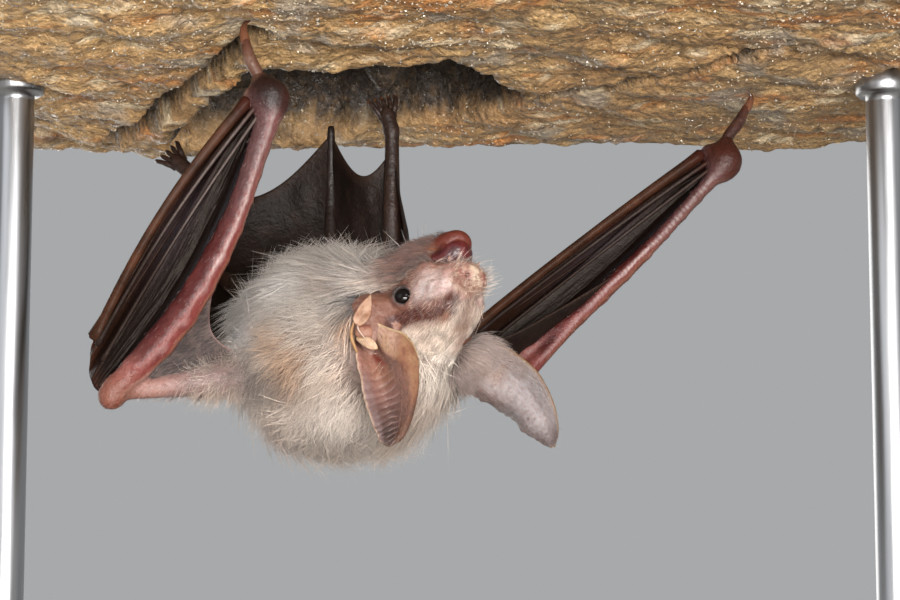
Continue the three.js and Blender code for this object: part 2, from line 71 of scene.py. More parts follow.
legs = {
    "left": {"hip": (-20, 25, 0), "knee": (-31.5, 36, 9), "ankle": (-36.2, 42.5, 25),
             "toes": (-39.6, 44, 28.4), "outward": (-1, 0.2, 0)},
    "right": {"hip": (-13, 25, 0), "knee": (-8, 36.5, 11.5), "ankle": (-8, 36.5, 29.6),
              "toes": (-9.3, 37, 34.2), "outward": (1, 0.2, 0)},
}
tailLine = [(-16.5, 31, -1), (-16.6, 39, 8), (-16.6, 43, 20), (-16.6, 42, 31.2)]
hands = {"left": -1, "right": 1}
for limb in (*arms.values(), *legs.values()):
    for joint, place in limb.items():
        limb[joint] = np.array(place, float)


# ---- numbers and curves ----
def unit(a):
    a = np.asarray(a, float)
    return a / np.maximum(np.linalg.norm(a, axis=-1, keepdims=True), 1e-9)


def mix(a, b, t):
    return np.asarray(a) * (1 - t) + np.asarray(b) * t


def ease(t):
    t = np.clip(t, 0, 1)
    return t * t * (3 - 2 * t)


def onFlat(across, along):
    # two numbers as places on a flat sheet
    return np.stack([across, along, 0 * across], -1)


def near(points, centre, reach):
    away = np.linalg.norm(points - np.array(centre, float), axis=-1)
    return np.exp(-0.5 * (away / reach) ** 2)


def alongCurve(line, t):
    # a smooth curve through evenly spaced points, at shares t of its length
    line = np.asarray(line, float)
    t = np.clip(np.asarray(t, float), 0, 1) * (len(line) - 1)
    low = np.minimum(t.astype(int), len(line) - 2)
    s = (t - low).reshape(t.shape + (1,) * (line.ndim - 1))
    padded = np.concatenate([2 * line[:1] - line[1:2], line, 2 * line[-1:] - line[-2:-1]])
    a, b, c, d = (padded[low + i] for i in range(4))
    return 0.5 * (2 * b + (c - a) * s + (2 * a - 5 * b + 4 * c - d) * s**2 + (3 * b - a - 3 * c + d) * s**3)


def hashed(cell, seed):
    # an even random number for each whole-number cell
    x = cell[..., 0] * 374761393 + cell[..., 1] * 668265263 + cell[..., 2] * 2147483647 + seed * 1274126177
    x = (x ^ (x >> 13)) * 1274126177
    return ((x ^ (x >> 16)) & 0xFFFFFF) / 0xFFFFFF


def roughness(points, size, seed=1, layers=1):
    # smooth noise from -1 to 1, with bumps of about this size
    total, weight = 0, 0
    for layer in range(layers):
        scaled = np.asarray(points, float) / (size / 2**layer)
        cell = np.floor(scaled).astype(np.int64)
        part = scaled - cell
        part = part * part * (3 - 2 * part)
        value = 0
        for corner in range(8):
            offset = np.array([corner & 1, corner >> 1 & 1, corner >> 2 & 1])
            share = np.prod(np.where(offset, part, 1 - part), axis=-1)
            value = value + share * hashed(cell + offset, seed + layer)
        total = total + (2 * value - 1) * 0.5**layer
        weight += 0.5**layer
    return total / weight


def paint(code):
    # a colour from its six-figure code, as linear light
    parts = np.array([int(code[i:i + 2], 16) for i in (0, 2, 4)]) / 255
    return np.where(parts <= 0.04045, parts / 12.92, ((parts + 0.055) / 1.055) ** 2.4)


def plain(shape, code):
    return np.ones((len(shape["points"]), 3)) * paint(code)


def tinted(base, *layers):
    # lays each (share, colour) over the base, which is a colour's code or a colour for each point
    base = paint(base) if isinstance(base, str) else base
    for share, colour in layers:
        share = np.clip(share, 0, 1)[..., None]
        base = base * (1 - share) + (paint(colour) if isinstance(colour, str) else colour) * share
    return base


# ---- meshes from arrays ----
def normalsOf(points, faces):
    total = np.zeros_like(points)
    for group in faces:
        corners = points[group]
        across = np.cross(corners[:, 2] - corners[:, 0], corners[:, -1] - corners[:, 1])
        if group.shape[1] == 3:
            across = np.cross(corners[:, 1] - corners[:, 0], corners[:, 2] - corners[:, 0])
        for i in range(group.shape[1]):
            for axis in range(3):
                total[:, axis] += np.bincount(group[:, i], across[:, axis], len(points))
    return unit(total)


def joined(shapes):
    # shapes are dictionaries of points, faces, and values at the points; what all of them have is kept
    start, faces = 0, []
    for shape in shapes:
        faces += [group + start for group in shape["faces"]]
        start += len(shape["points"])
    common = [key for key in shapes[0] if key != "faces" and all(key in shape for shape in shapes)]
    return {"faces": faces, **{key: np.concatenate([shape[key] for shape in shapes]) for key in common}}


def gridFaces(rows, columns, start=0, closed=False):
    i, j = np.meshgrid(np.arange(rows - 1), np.arange(columns if closed else columns - 1), indexing="ij")
    after = (j + 1) % columns
    quads = np.stack([i * columns + j, i * columns + after,
                      (i + 1) * columns + after, (i + 1) * columns + j], -1)
    return quads.reshape(-1, 4) + start


def closedRings(count, sides):
    # the faces of rings of points closed by a point before the first ring and one past the last
    own, turnOn = np.arange(sides), (np.arange(sides) + 1) % sides
    first = np.stack([np.full(sides, count * sides), turnOn, own], -1)
    last = np.stack([np.full(sides, count * sides + 1), own + (count - 1) * sides,
                     turnOn + (count - 1) * sides], -1)
    return [gridFaces(count, sides, 0, True), first, last]


def rimOf(rows, columns):
    # the points round the edge of a grid, in order
    count = rows * columns
    return np.concatenate([np.arange(columns - 1), np.arange(rows - 1) * columns + columns - 1,
                           np.arange(count - 1, count - columns, -1),
                           np.arange(count - columns, 0, -columns)])


def tube(line, radii, sides=10, flat=1, side=(1, 0, 0.01), cap=0.6):
    # a round-ended tube along points that are already close together
    line, radii = np.asarray(line, float), np.broadcast_to(np.asarray(radii, float), len(line))
    along = unit(np.gradient(line, axis=0))
    across = unit(side - along * (along @ np.array(side, float))[:, None])
    up = np.cross(along, across)
    turn = np.arange(sides) / sides * 2 * math.pi
    ring = across[:, None] * np.cos(turn)[None, :, None]
    ring = ring + up[:, None] * (flat * np.sin(turn))[None, :, None]
    rings = [line[0] - along[0] * radii[0] * cap * 0.6 + ring[0] * radii[0] * 0.72]
    rings += list(line[:, None] + ring * radii[:, None, None])
    rings.append(line[-1] + along[-1] * radii[-1] * cap * 0.6 + ring[-1] * radii[-1] * 0.72)
    points = np.concatenate([*rings, [line[0] - along[0] * radii[0] * cap],
                             [line[-1] + along[-1] * radii[-1] * cap]])
    share = np.concatenate([np.repeat(np.linspace(0, 1, len(rings)), sides), [0, 1]])
    return {"points": points, "faces": closedRings(len(rings), sides), "share": share}


def revolved(centre, axis, profile, sides=24):
    # a turned shape; profile is (along, radius) from pole to pole
    axis = unit(axis)
    across = unit(np.cross(axis, (0.3, 0.9, 0.1) if abs(axis[1]) < 0.9 else (1, 0, 0)))
    up = np.cross(axis, across)
    turn = np.arange(sides) / sides * 2 * math.pi
    ring = across * np.cos(turn)[:, None] + up * np.sin(turn)[:, None]
    rows = [np.asarray(centre) + axis * along + ring * radius for along, radius in profile[1:-1]]
    ends = [np.asarray(centre) + axis * profile[i][0] for i in (0, -1)]
    return {"points": np.concatenate([*rows, ends]), "faces": closedRings(len(rows), sides)}


def shell(front, back):
    # a closed skin between two grids of points of the same size
    rows, columns = front.shape[:2]
    count, rim = rows * columns, rimOf(rows, columns)
    points = np.concatenate([front.reshape(-1, 3), back.reshape(-1, 3)])
    ahead = gridFaces(rows, columns)
    after = np.roll(rim, -1)
    edge = np.stack([rim, rim + count, after + count, after], -1)
    faces = np.concatenate([ahead, ahead[:, ::-1] + count, edge])
    corners = points[faces]
    centre = points.mean(0)
    across = np.cross(corners[:, 2] - corners[:, 0], corners[:, 3] - corners[:, 1])
    if (across * (corners.mean(1) - centre)).sum() < 0:
        faces = faces[:, ::-1]
    return {"points": points, "faces": [np.ascontiguousarray(faces)]}


def sheet(surface, columns, rows, thick, thinEdges=0.35):
    # a thin wall about a surface of two shares; its rim is thinner
    u, w = np.meshgrid(np.linspace(0, 1, columns), np.linspace(0, 1, rows))
    middle = surface(u, w)
    normal = unit(np.cross(np.gradient(middle, axis=1), np.gradient(middle, axis=0)))
    edge = np.minimum(np.minimum(u, 1 - u), np.minimum(w, 1 - w))
    wall = (thick / 2 * mix(thinEdges, 1, ease(edge / 0.06)))[..., None]
    made = shell(middle + normal * wall, middle - normal * wall)
    made["u"], made["w"] = np.tile(u.ravel(), 2), np.tile(w.ravel(), 2)
    return made


def inScene(name, data):
    made = bpy.data.objects.new(name, data)
    bpy.context.scene.collection.objects.link(made)
    return made


def store(mesh, key, values, kind):
    if kind == "FLOAT_COLOR":
        values = np.concatenate([values, np.ones((len(values), 1))], 1)
    field = {"FLOAT": "value", "FLOAT_VECTOR": "vector", "FLOAT_COLOR": "color"}[kind]
    mesh.attributes.new(key, kind, "POINT").data.foreach_set(field, values.astype(np.float32).ravel())


def makePiece(name, shape, material, slotName, nodes=(), values=(), uv=None, flatShaded=False):
    # turns arrays into an object in metres, which rides on the part's one body
    points = (shape["points"] + batPlace) / 1000
    groups = [group for group in shape["faces"] if len(group)]
    sizes = np.concatenate([np.full(len(group), group.shape[1]) for group in groups])
    loops = np.concatenate([group.ravel() for group in groups]).astype(np.int32)
    mesh = bpy.data.meshes.new(name)
    mesh.vertices.add(len(points))
    mesh.vertices.foreach_set("co", points.astype(np.float32).ravel())
    mesh.loops.add(len(loops))
    mesh.loops.foreach_set("vertex_index", loops)
    mesh.polygons.add(len(sizes))
    mesh.polygons.foreach_set("loop_start", np.concatenate([[0], np.cumsum(sizes)[:-1]]).astype(np.int32))
    mesh.update(calc_edges=True)
    mesh.validate()
    if not flatShaded:
        mesh.shade_smooth()
    for key in values:
        store(mesh, key, shape[key], "FLOAT_COLOR" if shape[key].ndim == 2 else "FLOAT")
    if uv is not None:
        mesh.uv_layers.new(name="OFBake").uv.foreach_set("vector", uv.astype(np.float32).ravel())
    mesh.materials.append(material)
    piece = inScene(name, mesh)
    if slotName:
        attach(piece, "root")
        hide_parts(*nodes)
    return piece


# ---- building a shape from balls and rods on a grid, and skinning it ----
def rod(a, b, startRadius, endRadius, squash=None):
    # a rod with round ends; squash is (direction, share) for an oval section
    a, b = np.array(a, float), np.array(b, float)
    bend = np.eye(3)
    if squash:
        n = unit(squash[0])
        bend += (1 / squash[1] - 1) * np.outer(n, n)
    line = bend @ (b - a)
    length2 = max(line @ line, 1e-9)
    size = 1 if not squash else (1 + squash[1]) / 2

    def distance(x, y, z):
        p = (x - a[0], y - a[1], z - a[2])
        if squash:
            p = [bend[i, 0] * p[0] + bend[i, 1] * p[1] + bend[i, 2] * p[2] for i in range(3)]
        t = np.clip((p[0] * line[0] + p[1] * line[1] + p[2] * line[2]) / length2, 0, 1)
        away = sum((p[i] - t * line[i]) ** 2 for i in range(3))
        return (np.sqrt(away) - (startRadius + (endRadius - startRadius) * t)) * size

    reach = max(startRadius, endRadius)
    return distance, np.minimum(a, b) - reach, np.maximum(a, b) + reach


def ball(centre, radii, axes=None):
    centre, radii = np.array(centre, float), np.broadcast_to(np.array(radii, float), 3)
    axes = np.eye(3) if axes is None else axes

    def distance(x, y, z):
        p = (x - centre[0], y - centre[1], z - centre[2])
        q = [(p[0] * axes[i, 0] + p[1] * axes[i, 1] + p[2] * axes[i, 2]) / radii[i] for i in range(3)]
        whole = np.sqrt(q[0] ** 2 + q[1] ** 2 + q[2] ** 2)
        slope = np.sqrt(sum((q[i] / radii[i]) ** 2 for i in range(3)))
        return whole * (whole - 1) / np.maximum(slope, 1e-4)

    return distance, centre - radii.max(), centre + radii.max()


def ringShape(centre, axis, radius, thick, stretch=1):
    # a ring of round section about an axis
    centre, axis = np.array(centre, float), unit(axis)

    def distance(x, y, z):
        p = (x - centre[0], y - centre[1], z - centre[2])
        along = p[0] * axis[0] + p[1] * axis[1] + p[2] * axis[2]
        out = np.sqrt(np.maximum(p[0] ** 2 + p[1] ** 2 + p[2] ** 2 - along**2, 0)) - radius
        return np.sqrt(out**2 + (along / stretch) ** 2) - thick

    return distance, centre - radius - thick, centre + radius + thick


def gridAxis(low, high, core, fine, coarse, growth=0.02):
    stops = [low]
    while stops[-1] < high:
        away = max(core[0] - stops[-1], stops[-1] - core[1], 0)
        stops.append(stops[-1] + min(coarse, fine + growth * away))
    return np.array(stops, np.float32)


def skinOf(steps, axes):
    # steps are (part, shape, blend, adds); returns the outside of what they add up to
    field = np.full([len(axis) for axis in axes], 6, np.float32)
    for part, (distance, low, high), blend, adds in steps:
        window = []
        for i, axis in enumerate(axes):
            room = blend + 1.2
            window.append(slice(*np.searchsorted(axis, [low[i] - room, high[i] + room])))
        x, y, z = (axes[i][window[i]] for i in range(3))
        shape = distance(x[:, None, None], y[None, :, None], z[None, None, :]).astype(np.float32)
        here = field[tuple(window)]
        a, b = (here, shape) if adds else (-here, shape)
        share = np.clip(0.5 + 0.5 * (b - a) / blend, 0, 1)
        least = b + (a - b) * share - blend * share * (1 - share)
        field[tuple(window)] = least if adds else -least
    inside = field < 0
    strides = np.array([(len(axes[1]) - 1) * (len(axes[2]) - 1), len(axes[2]) - 1, 1])
    cells, crossings = [], []
    for axis in range(3):
        step = np.eye(3, dtype=int)[axis]
        count = field.shape[axis]
        low, high = (tuple(slice(s, count - 1 + s) if i == axis else slice(None) for i in range(3))
                     for s in (0, 1))
        at = np.argwhere(inside[low] != inside[high])
        start, end = field[tuple(at.T)], field[tuple((at + step).T)]
        where = np.stack([axes[i][at[:, i]] for i in range(3)], 1).astype(float)
        where[:, axis] += start / (start - end) * (axes[axis][at[:, axis] + 1] - axes[axis][at[:, axis]])
        around = np.zeros((4, 3), int)
        around[:, (axis + 1) % 3] = [-1, 0, 0, -1]
        around[:, (axis + 2) % 3] = [-1, -1, 0, 0]
        ring = (at[:, None] + around) @ strides
        ring[start > 0] = ring[start > 0, ::-1]
        cells.append(ring)
        crossings.append(np.repeat(where[:, None], 4, 1))
    cells, crossings = np.concatenate(cells), np.concatenate(crossings).reshape(-1, 3)
    quads = np.unique(cells, return_inverse=True)[1].reshape(-1)
    count = np.bincount(quads)
    points = np.stack([np.bincount(quads, crossings[:, i]) / count for i in range(3)], 1)
    return {"points": points, "faces": [quads.reshape(-1, 4)]}


def smoothed(points, quads, weight, rounds):
    # evens out the grid's steps without shrinking the shape
    ends = np.concatenate([quads[:, [i, (i + 1) % 4]] for i in range(4)])
    ends = np.concatenate([ends, ends[:, ::-1]])
    count = np.bincount(ends[:, 0], minlength=len(points))
    for step in (0.5, -0.52) * rounds:
        total = [np.bincount(ends[:, 0], points[ends[:, 1], i], len(points)) for i in range(3)]
        points = points + (np.stack(total, 1) / count[:, None] - points) * (step * weight)[:, None]
    return points


def distanceTo(shapes, points):
    x, y, z = points.T
    return np.min([shape[0](x, y, z) for shape in shapes], 0)


# ---- the head's own frame ----
headPose = {
    "between": (-2.3, -11.5, -3.4),  # midway between the eyes
    "right": (0.798, 0.525, -0.295),
    "forward": (0.597, -0.754, 0.272),
    "scale": 1.06,
}
headRight, headForward = unit(headPose["right"]), unit(headPose["forward"])
headCrown = unit(np.cross(headRight, headForward))
headAxes = np.array([headForward, headRight, headCrown])
headMiddle, headScale = np.array(headPose["between"]), headPose["scale"]


def inHead(*place):
    return headMiddle + headScale * np.asarray(place, float) @ headAxes


def headBall(place, radii):
    return ball(inHead(*place), np.array(radii, float) * headScale, headAxes)


def headRod(a, b, startRadius, endRadius, flat=None):
    squash = (headCrown, flat) if flat else None
    return rod(inHead(*a), inHead(*b), startRadius * headScale, endRadius * headScale, squash)


jawPose = {"front": -1.5, "crown": -3.4, "open": math.radians(-31)}


def inJaw(front, right, crown):
    turn = jawPose["open"]
    return inHead(jawPose["front"] + front * math.cos(turn) - crown * math.sin(turn), right,
                  jawPose["crown"] + front * math.sin(turn) + crown * math.cos(turn))


jawCrown = unit(inJaw(0, 0, 1) - inJaw(0, 0, 0))
eye = {"at": (0.6, 4.22, 0.3), "radius": 1.3, "looks": (0.62, 0.72, 0.28), "lid": 1.06, "lidThick": 0.2}


def eyeCentre(hand):
    front, right, crown = eye["at"]
    return inHead(front, hand * right, crown)


def eyeAxis(hand):
    front, right, crown = eye["looks"]
    return unit(np.array([front, hand * right, crown]) @ headAxes)


# ---- what the one skin is made of; a furred part lies inside its outline by the coat's depth ----
skin = {
    "fine": 0.205, "coarse": 0.46,  # grid steps at the face and far from it
    "trunk": [  # middle and radius, from the tail to the neck
        ((-16.5, 31, 2.2), 3.0), ((-16.4, 27, 1), 6.0), ((-16.1, 19, -1.8), 8.6), ((-15.4, 11, -4.4), 10.1),
        ((-14.2, 4, -6.2), 10.8), ((-12.8, -2, -7), 9.9), ((-10.5, -5, -7.2), 8.2),
    ],
    "neck": [((-10, 2, -7.6), 8.6), ((-8, -3, -7.4), 7.8), ((-6.2, -6.6, -6.8), 6.6),
             ((-5, -9.2, -6.0), 5.6)],
    "forearm": [1.7, 2.1, 1.8, 1.42, 1.5, 1.85],
    "leg": [  # joint and next joint, from and to what share of the way, both radii, blend
        ("hip", "knee", 0, 0.5, 2.7, 2.1, 1.4), ("hip", "knee", 0.5, 1, 2.1, 1.4, 0.8),
        ("knee", "ankle", 0, 0.4, 1.35, 1.25, 0.5), ("knee", "ankle", 0.4, 1, 1.25, 0.95, 0.4),
        ("ankle", "toes", 0, 0.55, 1.1, 1.15, 0.4),
    ],
    "tail": [1.6, 1.2, 0.85, 0.58],
    "toeSpread": 0.95,
}
face = {
    "braincase": ((-6.0, 0, 0.8), (5.6, 5.4, 5.1)),
    "snout": [  # middle and radius
        ((-3.2, 0, 0.6), 5.2), ((-0.6, 0, 0.25), 4.9), ((1.8, 0, -0.4), 4.45), ((4.0, 0, -1.1), 3.4),
        ((6.0, 0, -1.3), 2.4), ((7.2, 0, -1.2), 1.75),
    ],
    "jaw": [((0.4, 0, -1.5), 2.7), ((2.6, 0, -1.7), 2.8), ((4.6, 0, -1.25), 2.5), ((6.1, 0, -0.85), 2.0),
            ((6.8, 0, -0.6), 1.55)],
    "pads": [  # middle, radii and blend: muzzle gland, upper lip, cheek, temple
        ((4.0, 2.2, 0.35), (2.35, 1.45, 1.7), 0.5), ((6.8, 1.25, -1.4), (1.3, 0.85, 1.3), 0.45),
        ((1.6, 3.1, -2.6), (2.8, 1.5, 1.7), 0.9), ((-2.4, 4.0, 1.9), (2.2, 1.5, 1.6), 1.0),
    ],
    "noseTip": ((7.6, 0, -1.0), (0.95, 1.25, 1.1)),
    "nosePads": [((7.95, 0.85, -0.75), (0.75, 0.58, 0.68), 0.3)],
    "grooves": [  # both ends, both radii and blend: nostril, its fold, the muzzle's pore
        ((8.4, 1.2, -0.65), (7.7, 0.75, -0.95), 0.3, 0.2, 0.2),
        ((7.8, 1.7, -1.1), (8.3, 1.2, -0.6), 0.1, 0.16, 0.2),
        ((3.9, 4.05, 0.85), (4.9, 3.75, 0.25), 0.1, 0.06, 0.15),
    ],
}
steps, skinParts = [], {}


def addSkin(part, shape, blend, adds=True):
    steps.append((part, shape, blend, adds))
    if adds:
        skinParts.setdefault(part, []).append(shape)


def addLine(part, line, blend, made):
    # one rod between each two neighbours of a line of (middle, radius)
    for (a, startRadius), (b, endRadius) in zip(line, line[1:]):
        addSkin(part, made(a, b, startRadius, endRadius), blend)


def onSide(place, hand):
    return place[0], hand * place[1], place[2]


def addPads(rows):
    for hand in (-1, 1):
        for place, radii, blend in rows:
            addSkin("head", headBall(onSide(place, hand), radii), blend)


for line in ("trunk", "neck"):
    addLine("body", skin[line], 2.0, rod)
# braincase, face and muzzle
addSkin("head", headBall(*face["braincase"]), 1.5)
addLine("head", face["snout"], 0.8, lambda *rodOf: headRod(*rodOf, 0.92))
addSkin("head", headRod((-1.0, 0, 2.9), (5.4, 0, 0.9), 1.7, 0.75), 1.2)
addPads(face["pads"])
addSkin("head", headBall(*face["noseTip"]), 0.4)
addPads(face["nosePads"])
# the jaw is open; the palate and its floor are cut out
jawLine = [(inJaw(*place), radius * headScale) for place, radius in face["jaw"]]
addLine("jaw", jawLine, 0.7, lambda *rodOf: rod(*rodOf, (jawCrown, 0.74)))
addSkin("head", rod(inHead(4.4, 0, -4.9), inHead(9.2, 0, -4.5), 1.1, 1.4, (headRight, 1.5)), 0.5, False)
addSkin("jaw", rod(inJaw(2.6, 0, 1.35), inJaw(6.6, 0, 1.2), 2.1, 1.7, (jawCrown, 0.8)), 0.35, False)
for hand in (-1, 1):
    addSkin("jaw", rod(inJaw(2.2, hand * 2.35, 0.35), inJaw(6.1, hand * 1.65, 0.45), 0.5, 0.45), 0.4)
# nostrils, the groove between them, and the small fold on each pad
for hand in (-1, 1):
    for a, b, startRadius, endRadius, blend in face["grooves"]:
        groove = headRod(onSide(a, hand), onSide(b, hand), startRadius, endRadius)
        addSkin("head", groove, blend, False)
addSkin("head", headRod((8.8, 0, 0.1), (8.6, 0, -2.4), 0.12, 0.12), 0.25, False)
# eye sockets and lids
for hand in (-1, 1):
    centre, axis = eyeCentre(hand), eyeAxis(hand)
    addSkin("head", ball(centre + axis * 0.1, 1.62), 0.45)
    addSkin("head", rod(centre + axis * 0.6, centre + axis * 3, 0.92, 1.3), 0.18, False)
    addSkin("head", ringShape(centre + axis * 0.82, axis, eye["lid"], eye["lidThick"], 1.1), 0.16)
    addSkin("head", ringShape(centre + axis * 0.35, axis, 1.75, 0.1), 0.35, False)
# arms: shoulder to wrist, with a tendon's ridge along the front
for name, arm in arms.items():
    shoulder, elbow, wrist, front = arm["shoulder"], arm["elbow"], arm["wrist"], unit(arm["front"])
    part = "arm_" + name
    addSkin(part, rod(shoulder, mix(shoulder, elbow, 0.5), 3.3, 1.9), 1.8)
    addSkin(part, rod(mix(shoulder, elbow, 0.5), elbow, 1.8, 0.85), 0.7)
    arm["line"] = np.array([mix(elbow, wrist, t) + arm["bow"] * s
                            for t, s in zip([0, 0.3, 0.6, 0.85, 1], [0, 0.95, 1, 0.45, 0])])
    places = alongCurve(arm["line"], np.linspace(0, 1, 13))
    radii = np.interp(np.linspace(0, 1, 13), np.linspace(0, 1, 6), skin["forearm"])
    radii *= np.interp(np.linspace(0, 1, 13), [0, 0.25, 0.9, 1], [1, *[arm.get("slim", 1)] * 2, 1])
    for i in range(12):
        addSkin(part, rod(places[i], places[i + 1], radii[i] * 0.93, radii[i + 1] * 0.93), 0.4)
        if 1 <= i <= 10:
            lift = front * 0.62
            addSkin(part, rod(places[i] + lift * radii[i], places[i + 1] + lift * radii[i + 1],
                              radii[i] * 0.42, radii[i + 1] * 0.42), 0.35)
    along = unit(wrist - elbow)
    addSkin(part, rod(elbow - along * 0.3, elbow + along * 0.8, 1.65, 1.6), 0.6)
    addSkin(part, ball(elbow - along * 0.9 + front * 0.4, 1.1), 0.5)
    thumb = arm["thumb"]
    addSkin(part, rod(wrist - along * 0.8, mix(wrist, thumb[0], 0.4), 2.05, 1.85), 0.9)
    addSkin(part, rod(wrist, mix(wrist, arm["fingerRoot"], 0.85), 1.8, 1.4), 1.0)
    addSkin(part, rod(mix(wrist, thumb[0], 0.5), mix(thumb[0], thumb[1], 0.7), 1.7, 0.95), 1.4)
    if "fold" in arm:
        addSkin(part, rod(arm["fold"][0], arm["fold"][1], 1.15, 0.45), 0.8)
# legs and tail
for name, leg in legs.items():
    for start, end, low, high, startRadius, endRadius, blend in skin["leg"]:
        a, b = mix(leg[start], leg[end], low), mix(leg[start], leg[end], high)
        addSkin("leg_" + name, rod(a, b, startRadius, endRadius), blend)
tailPlaces = alongCurve(tailLine, np.linspace(0, 1, 11))
tailRadii = np.interp(np.linspace(0, 1, 11), np.linspace(0, 1, 4), skin["tail"])
addLine("tail", list(zip(tailPlaces, tailRadii)), 0.4, rod)

# ---- the ears' guide lines, from root to tip ----
ears = {
    "left": {  # its hollow side faces the viewer
        "lines": [  # front margin, furry ridge, hollow, rear margin
            [(-8.85, -15.4, -5.35), (-6.9, -15.8, -6.1), (-5.5, -15.9, -6.6), (-4.4, -16.1, -7.8),
             (-3.75, -16.4, -9.5), (-3.65, -16.9, -11.2), (-3.75, -17.4, -13.6), (-4.35, -18.5, -16.7),
             (-5.05, -19.1, -18.7), (-5.9, -19.4, -20.1)],
            [(-8.75, -15.6, -7.7), (-7.3, -16.6, -9.5), (-6.2, -17.3, -10.6), (-5.5, -17.9, -12.4),
             (-5.0, -18.3, -14.6), (-5.15, -18.9, -17.1), (-5.75, -19.3, -19.0), (-6.5, -19.5, -20.45)],
            [(-10.1, -12.4, -6.7), (-9.3, -13.5, -9.3), (-8.1, -14.8, -12.4), (-7.4, -16.2, -15.3),
             (-7.0, -17.9, -18.1), (-7.3, -19.4, -20.75)],
            [(-11.7, -13.8, -6.0), (-11.4, -14.9, -8.8), (-10.7, -15.9, -12.4), (-10.0, -17.2, -15.7),
             (-8.9, -18.4, -18.7), (-8.2, -19.4, -20.2)],
        ],
        "stations": [0, 0.34, 0.68, 1],
        "root": (-9.3, -13, -5.2), "middle": (-8, -16, -11.4), "hollowSide": 1,
    },
    "right": {  # its back faces the viewer
        "lines": [  # front margin, back of the cup, fold, rear margin
            [(3.2, -7.6, -5.5), (7.1, -8, -7.5), (10.4, -8.6, -10.3), (12.3, -9.3, -14),
             (12.9, -10.2, -17.5), (12.4, -11, -19.7)],
            [(1.6, -10.4, -7.6), (5.2, -11.4, -10.0), (8.3, -12.4, -12.6), (10.4, -12.6, -15.4),
             (11.9, -12, -17.9), (12.4, -11.1, -19.8)],
            [(0.6, -10.4, -9.4), (3.4, -11.3, -12.1), (6.3, -11.9, -14.1), (8.6, -12.1, -16),
             (10.4, -11.8, -18.1), (12.3, -11.1, -19.9)],
            [(0.2, -8, -10.2), (2.4, -8.2, -12.7), (5.1, -8.7, -14.5), (7.5, -9.3, -16.1),
             (9.0, -10.1, -17.9), (12.1, -11, -19.8)],
        ],
        "stations": [0, 0.38, 0.7, 1],
        "root": (-0.4, -7, -6.6), "middle": (6.9, -9, -12), "hollowSide": -1,
    },
}
for hand in (-1, 1):  # cheeks beside the open jaw
    addSkin("head", rod(inHead(-4.4, hand * 3.5, -2.5), inHead(0.1, hand * 2.4, -6.0), 2.5, 1.7), 1.5)
for name, ear in ears.items():
    root, middle = np.array(ear["root"]), np.array(ear["middle"])
    addSkin("head", rod(mix(root, middle, -0.15), mix(root, middle, 0.18), 3.0, 2.2), 1.4)

gridAxes = [
    gridAxis(-46, 42.5, (-8.5, 6), skin["fine"], skin["coarse"]),
    gridAxis(-22, 46.5, (-20.5, -10), skin["fine"], skin["coarse"]),
    gridAxis(-24, 34, (-7.5, 6.5), skin["fine"], skin["coarse"]),
]
skinShape = skinOf(steps, gridAxes)
headAway = np.linalg.norm(skinShape["points"] - inHead(2, 0, 0), axis=1)
skinShape["points"] = smoothed(skinShape["points"], skinShape["faces"][0],
                               0.35 + 0.65 * ease((headAway - 9) / 3), 4)
say("skin", len(skinShape["faces"][0]))

# thumbs and toes are added to the same skin as fine tubes
def jointed(line, radii, count=22, sides=12, flat=1, side=(1, 0, 0.01)):
    t = np.linspace(0, 1, count)
    return tube(alongCurve(line, t), np.interp(t, np.linspace(0, 1, len(radii)), radii), sides, flat, side)


digits = []
for name, arm in arms.items():
    digits.append(("arm_" + name, jointed([mix(arm["wrist"], arm["thumb"][0], 0.5), *arm["thumb"]],
                                          [1.4, 0.9, 0.72, 0.68, 0.78, 0.82, 0.7, 0.5])))
toeTips = {}
for name, leg in legs.items():
    along = unit(leg["toes"] - leg["ankle"])
    spread = unit(leg["outward"] - along * (leg["outward"] @ along))
    palm = np.cross(along, spread)
    palm *= np.sign(palm[1]) or 1
    toeTips[name] = []
    for toe in range(-2, 3):
        start = mix(leg["ankle"], leg["toes"], 0.45) + spread * toe * 0.42
        tip = leg["toes"] + spread * toe * skin["toeSpread"]
        knuckle = mix(start, tip, 0.55) - palm * 0.25
        shape = jointed([start, knuckle, tip], [0.5, 0.36, 0.44, 0.33, 0.36, 0.28], 12, 8)
        digits.append(("leg_" + name, shape))
        toeTips[name].append([tip - along * 0.15, tip + palm * 0.5 + along * 0.45,
                              tip + palm * 0.95 + along * 0.55])
places = skinShape["points"]
folded = ease((9.5 - headAway) / 2) * ease(((places - headMiddle) @ headForward + 1) / 3)
folds = 0.13 * roughness(places, 1.3, 61, 2) + 0.09 * roughness(places, 0.62, 63, 2)
skinShape["points"] = places + normalsOf(places, skinShape["faces"]) * (folded * folds)[:, None]
digitStart = len(skinShape["points"])
partNames = list(skinParts)
digitParts = np.concatenate([np.full(len(shape["points"]), partNames.index(part))
                             for part, shape in digits])
skinShape = joined([skinShape, *(shape for part, shape in digits)])
skinPoints, skinFaces = skinShape["points"], skinShape["faces"]
skinNormals = normalsOf(skinPoints, skinFaces)
partDistance = {part: distanceTo(shapes, skinPoints) for part, shapes in skinParts.items()}
skinPart = np.argmin(np.stack([partDistance[part] for part in partNames]), 0)
skinPart[digitStart:] = digitParts


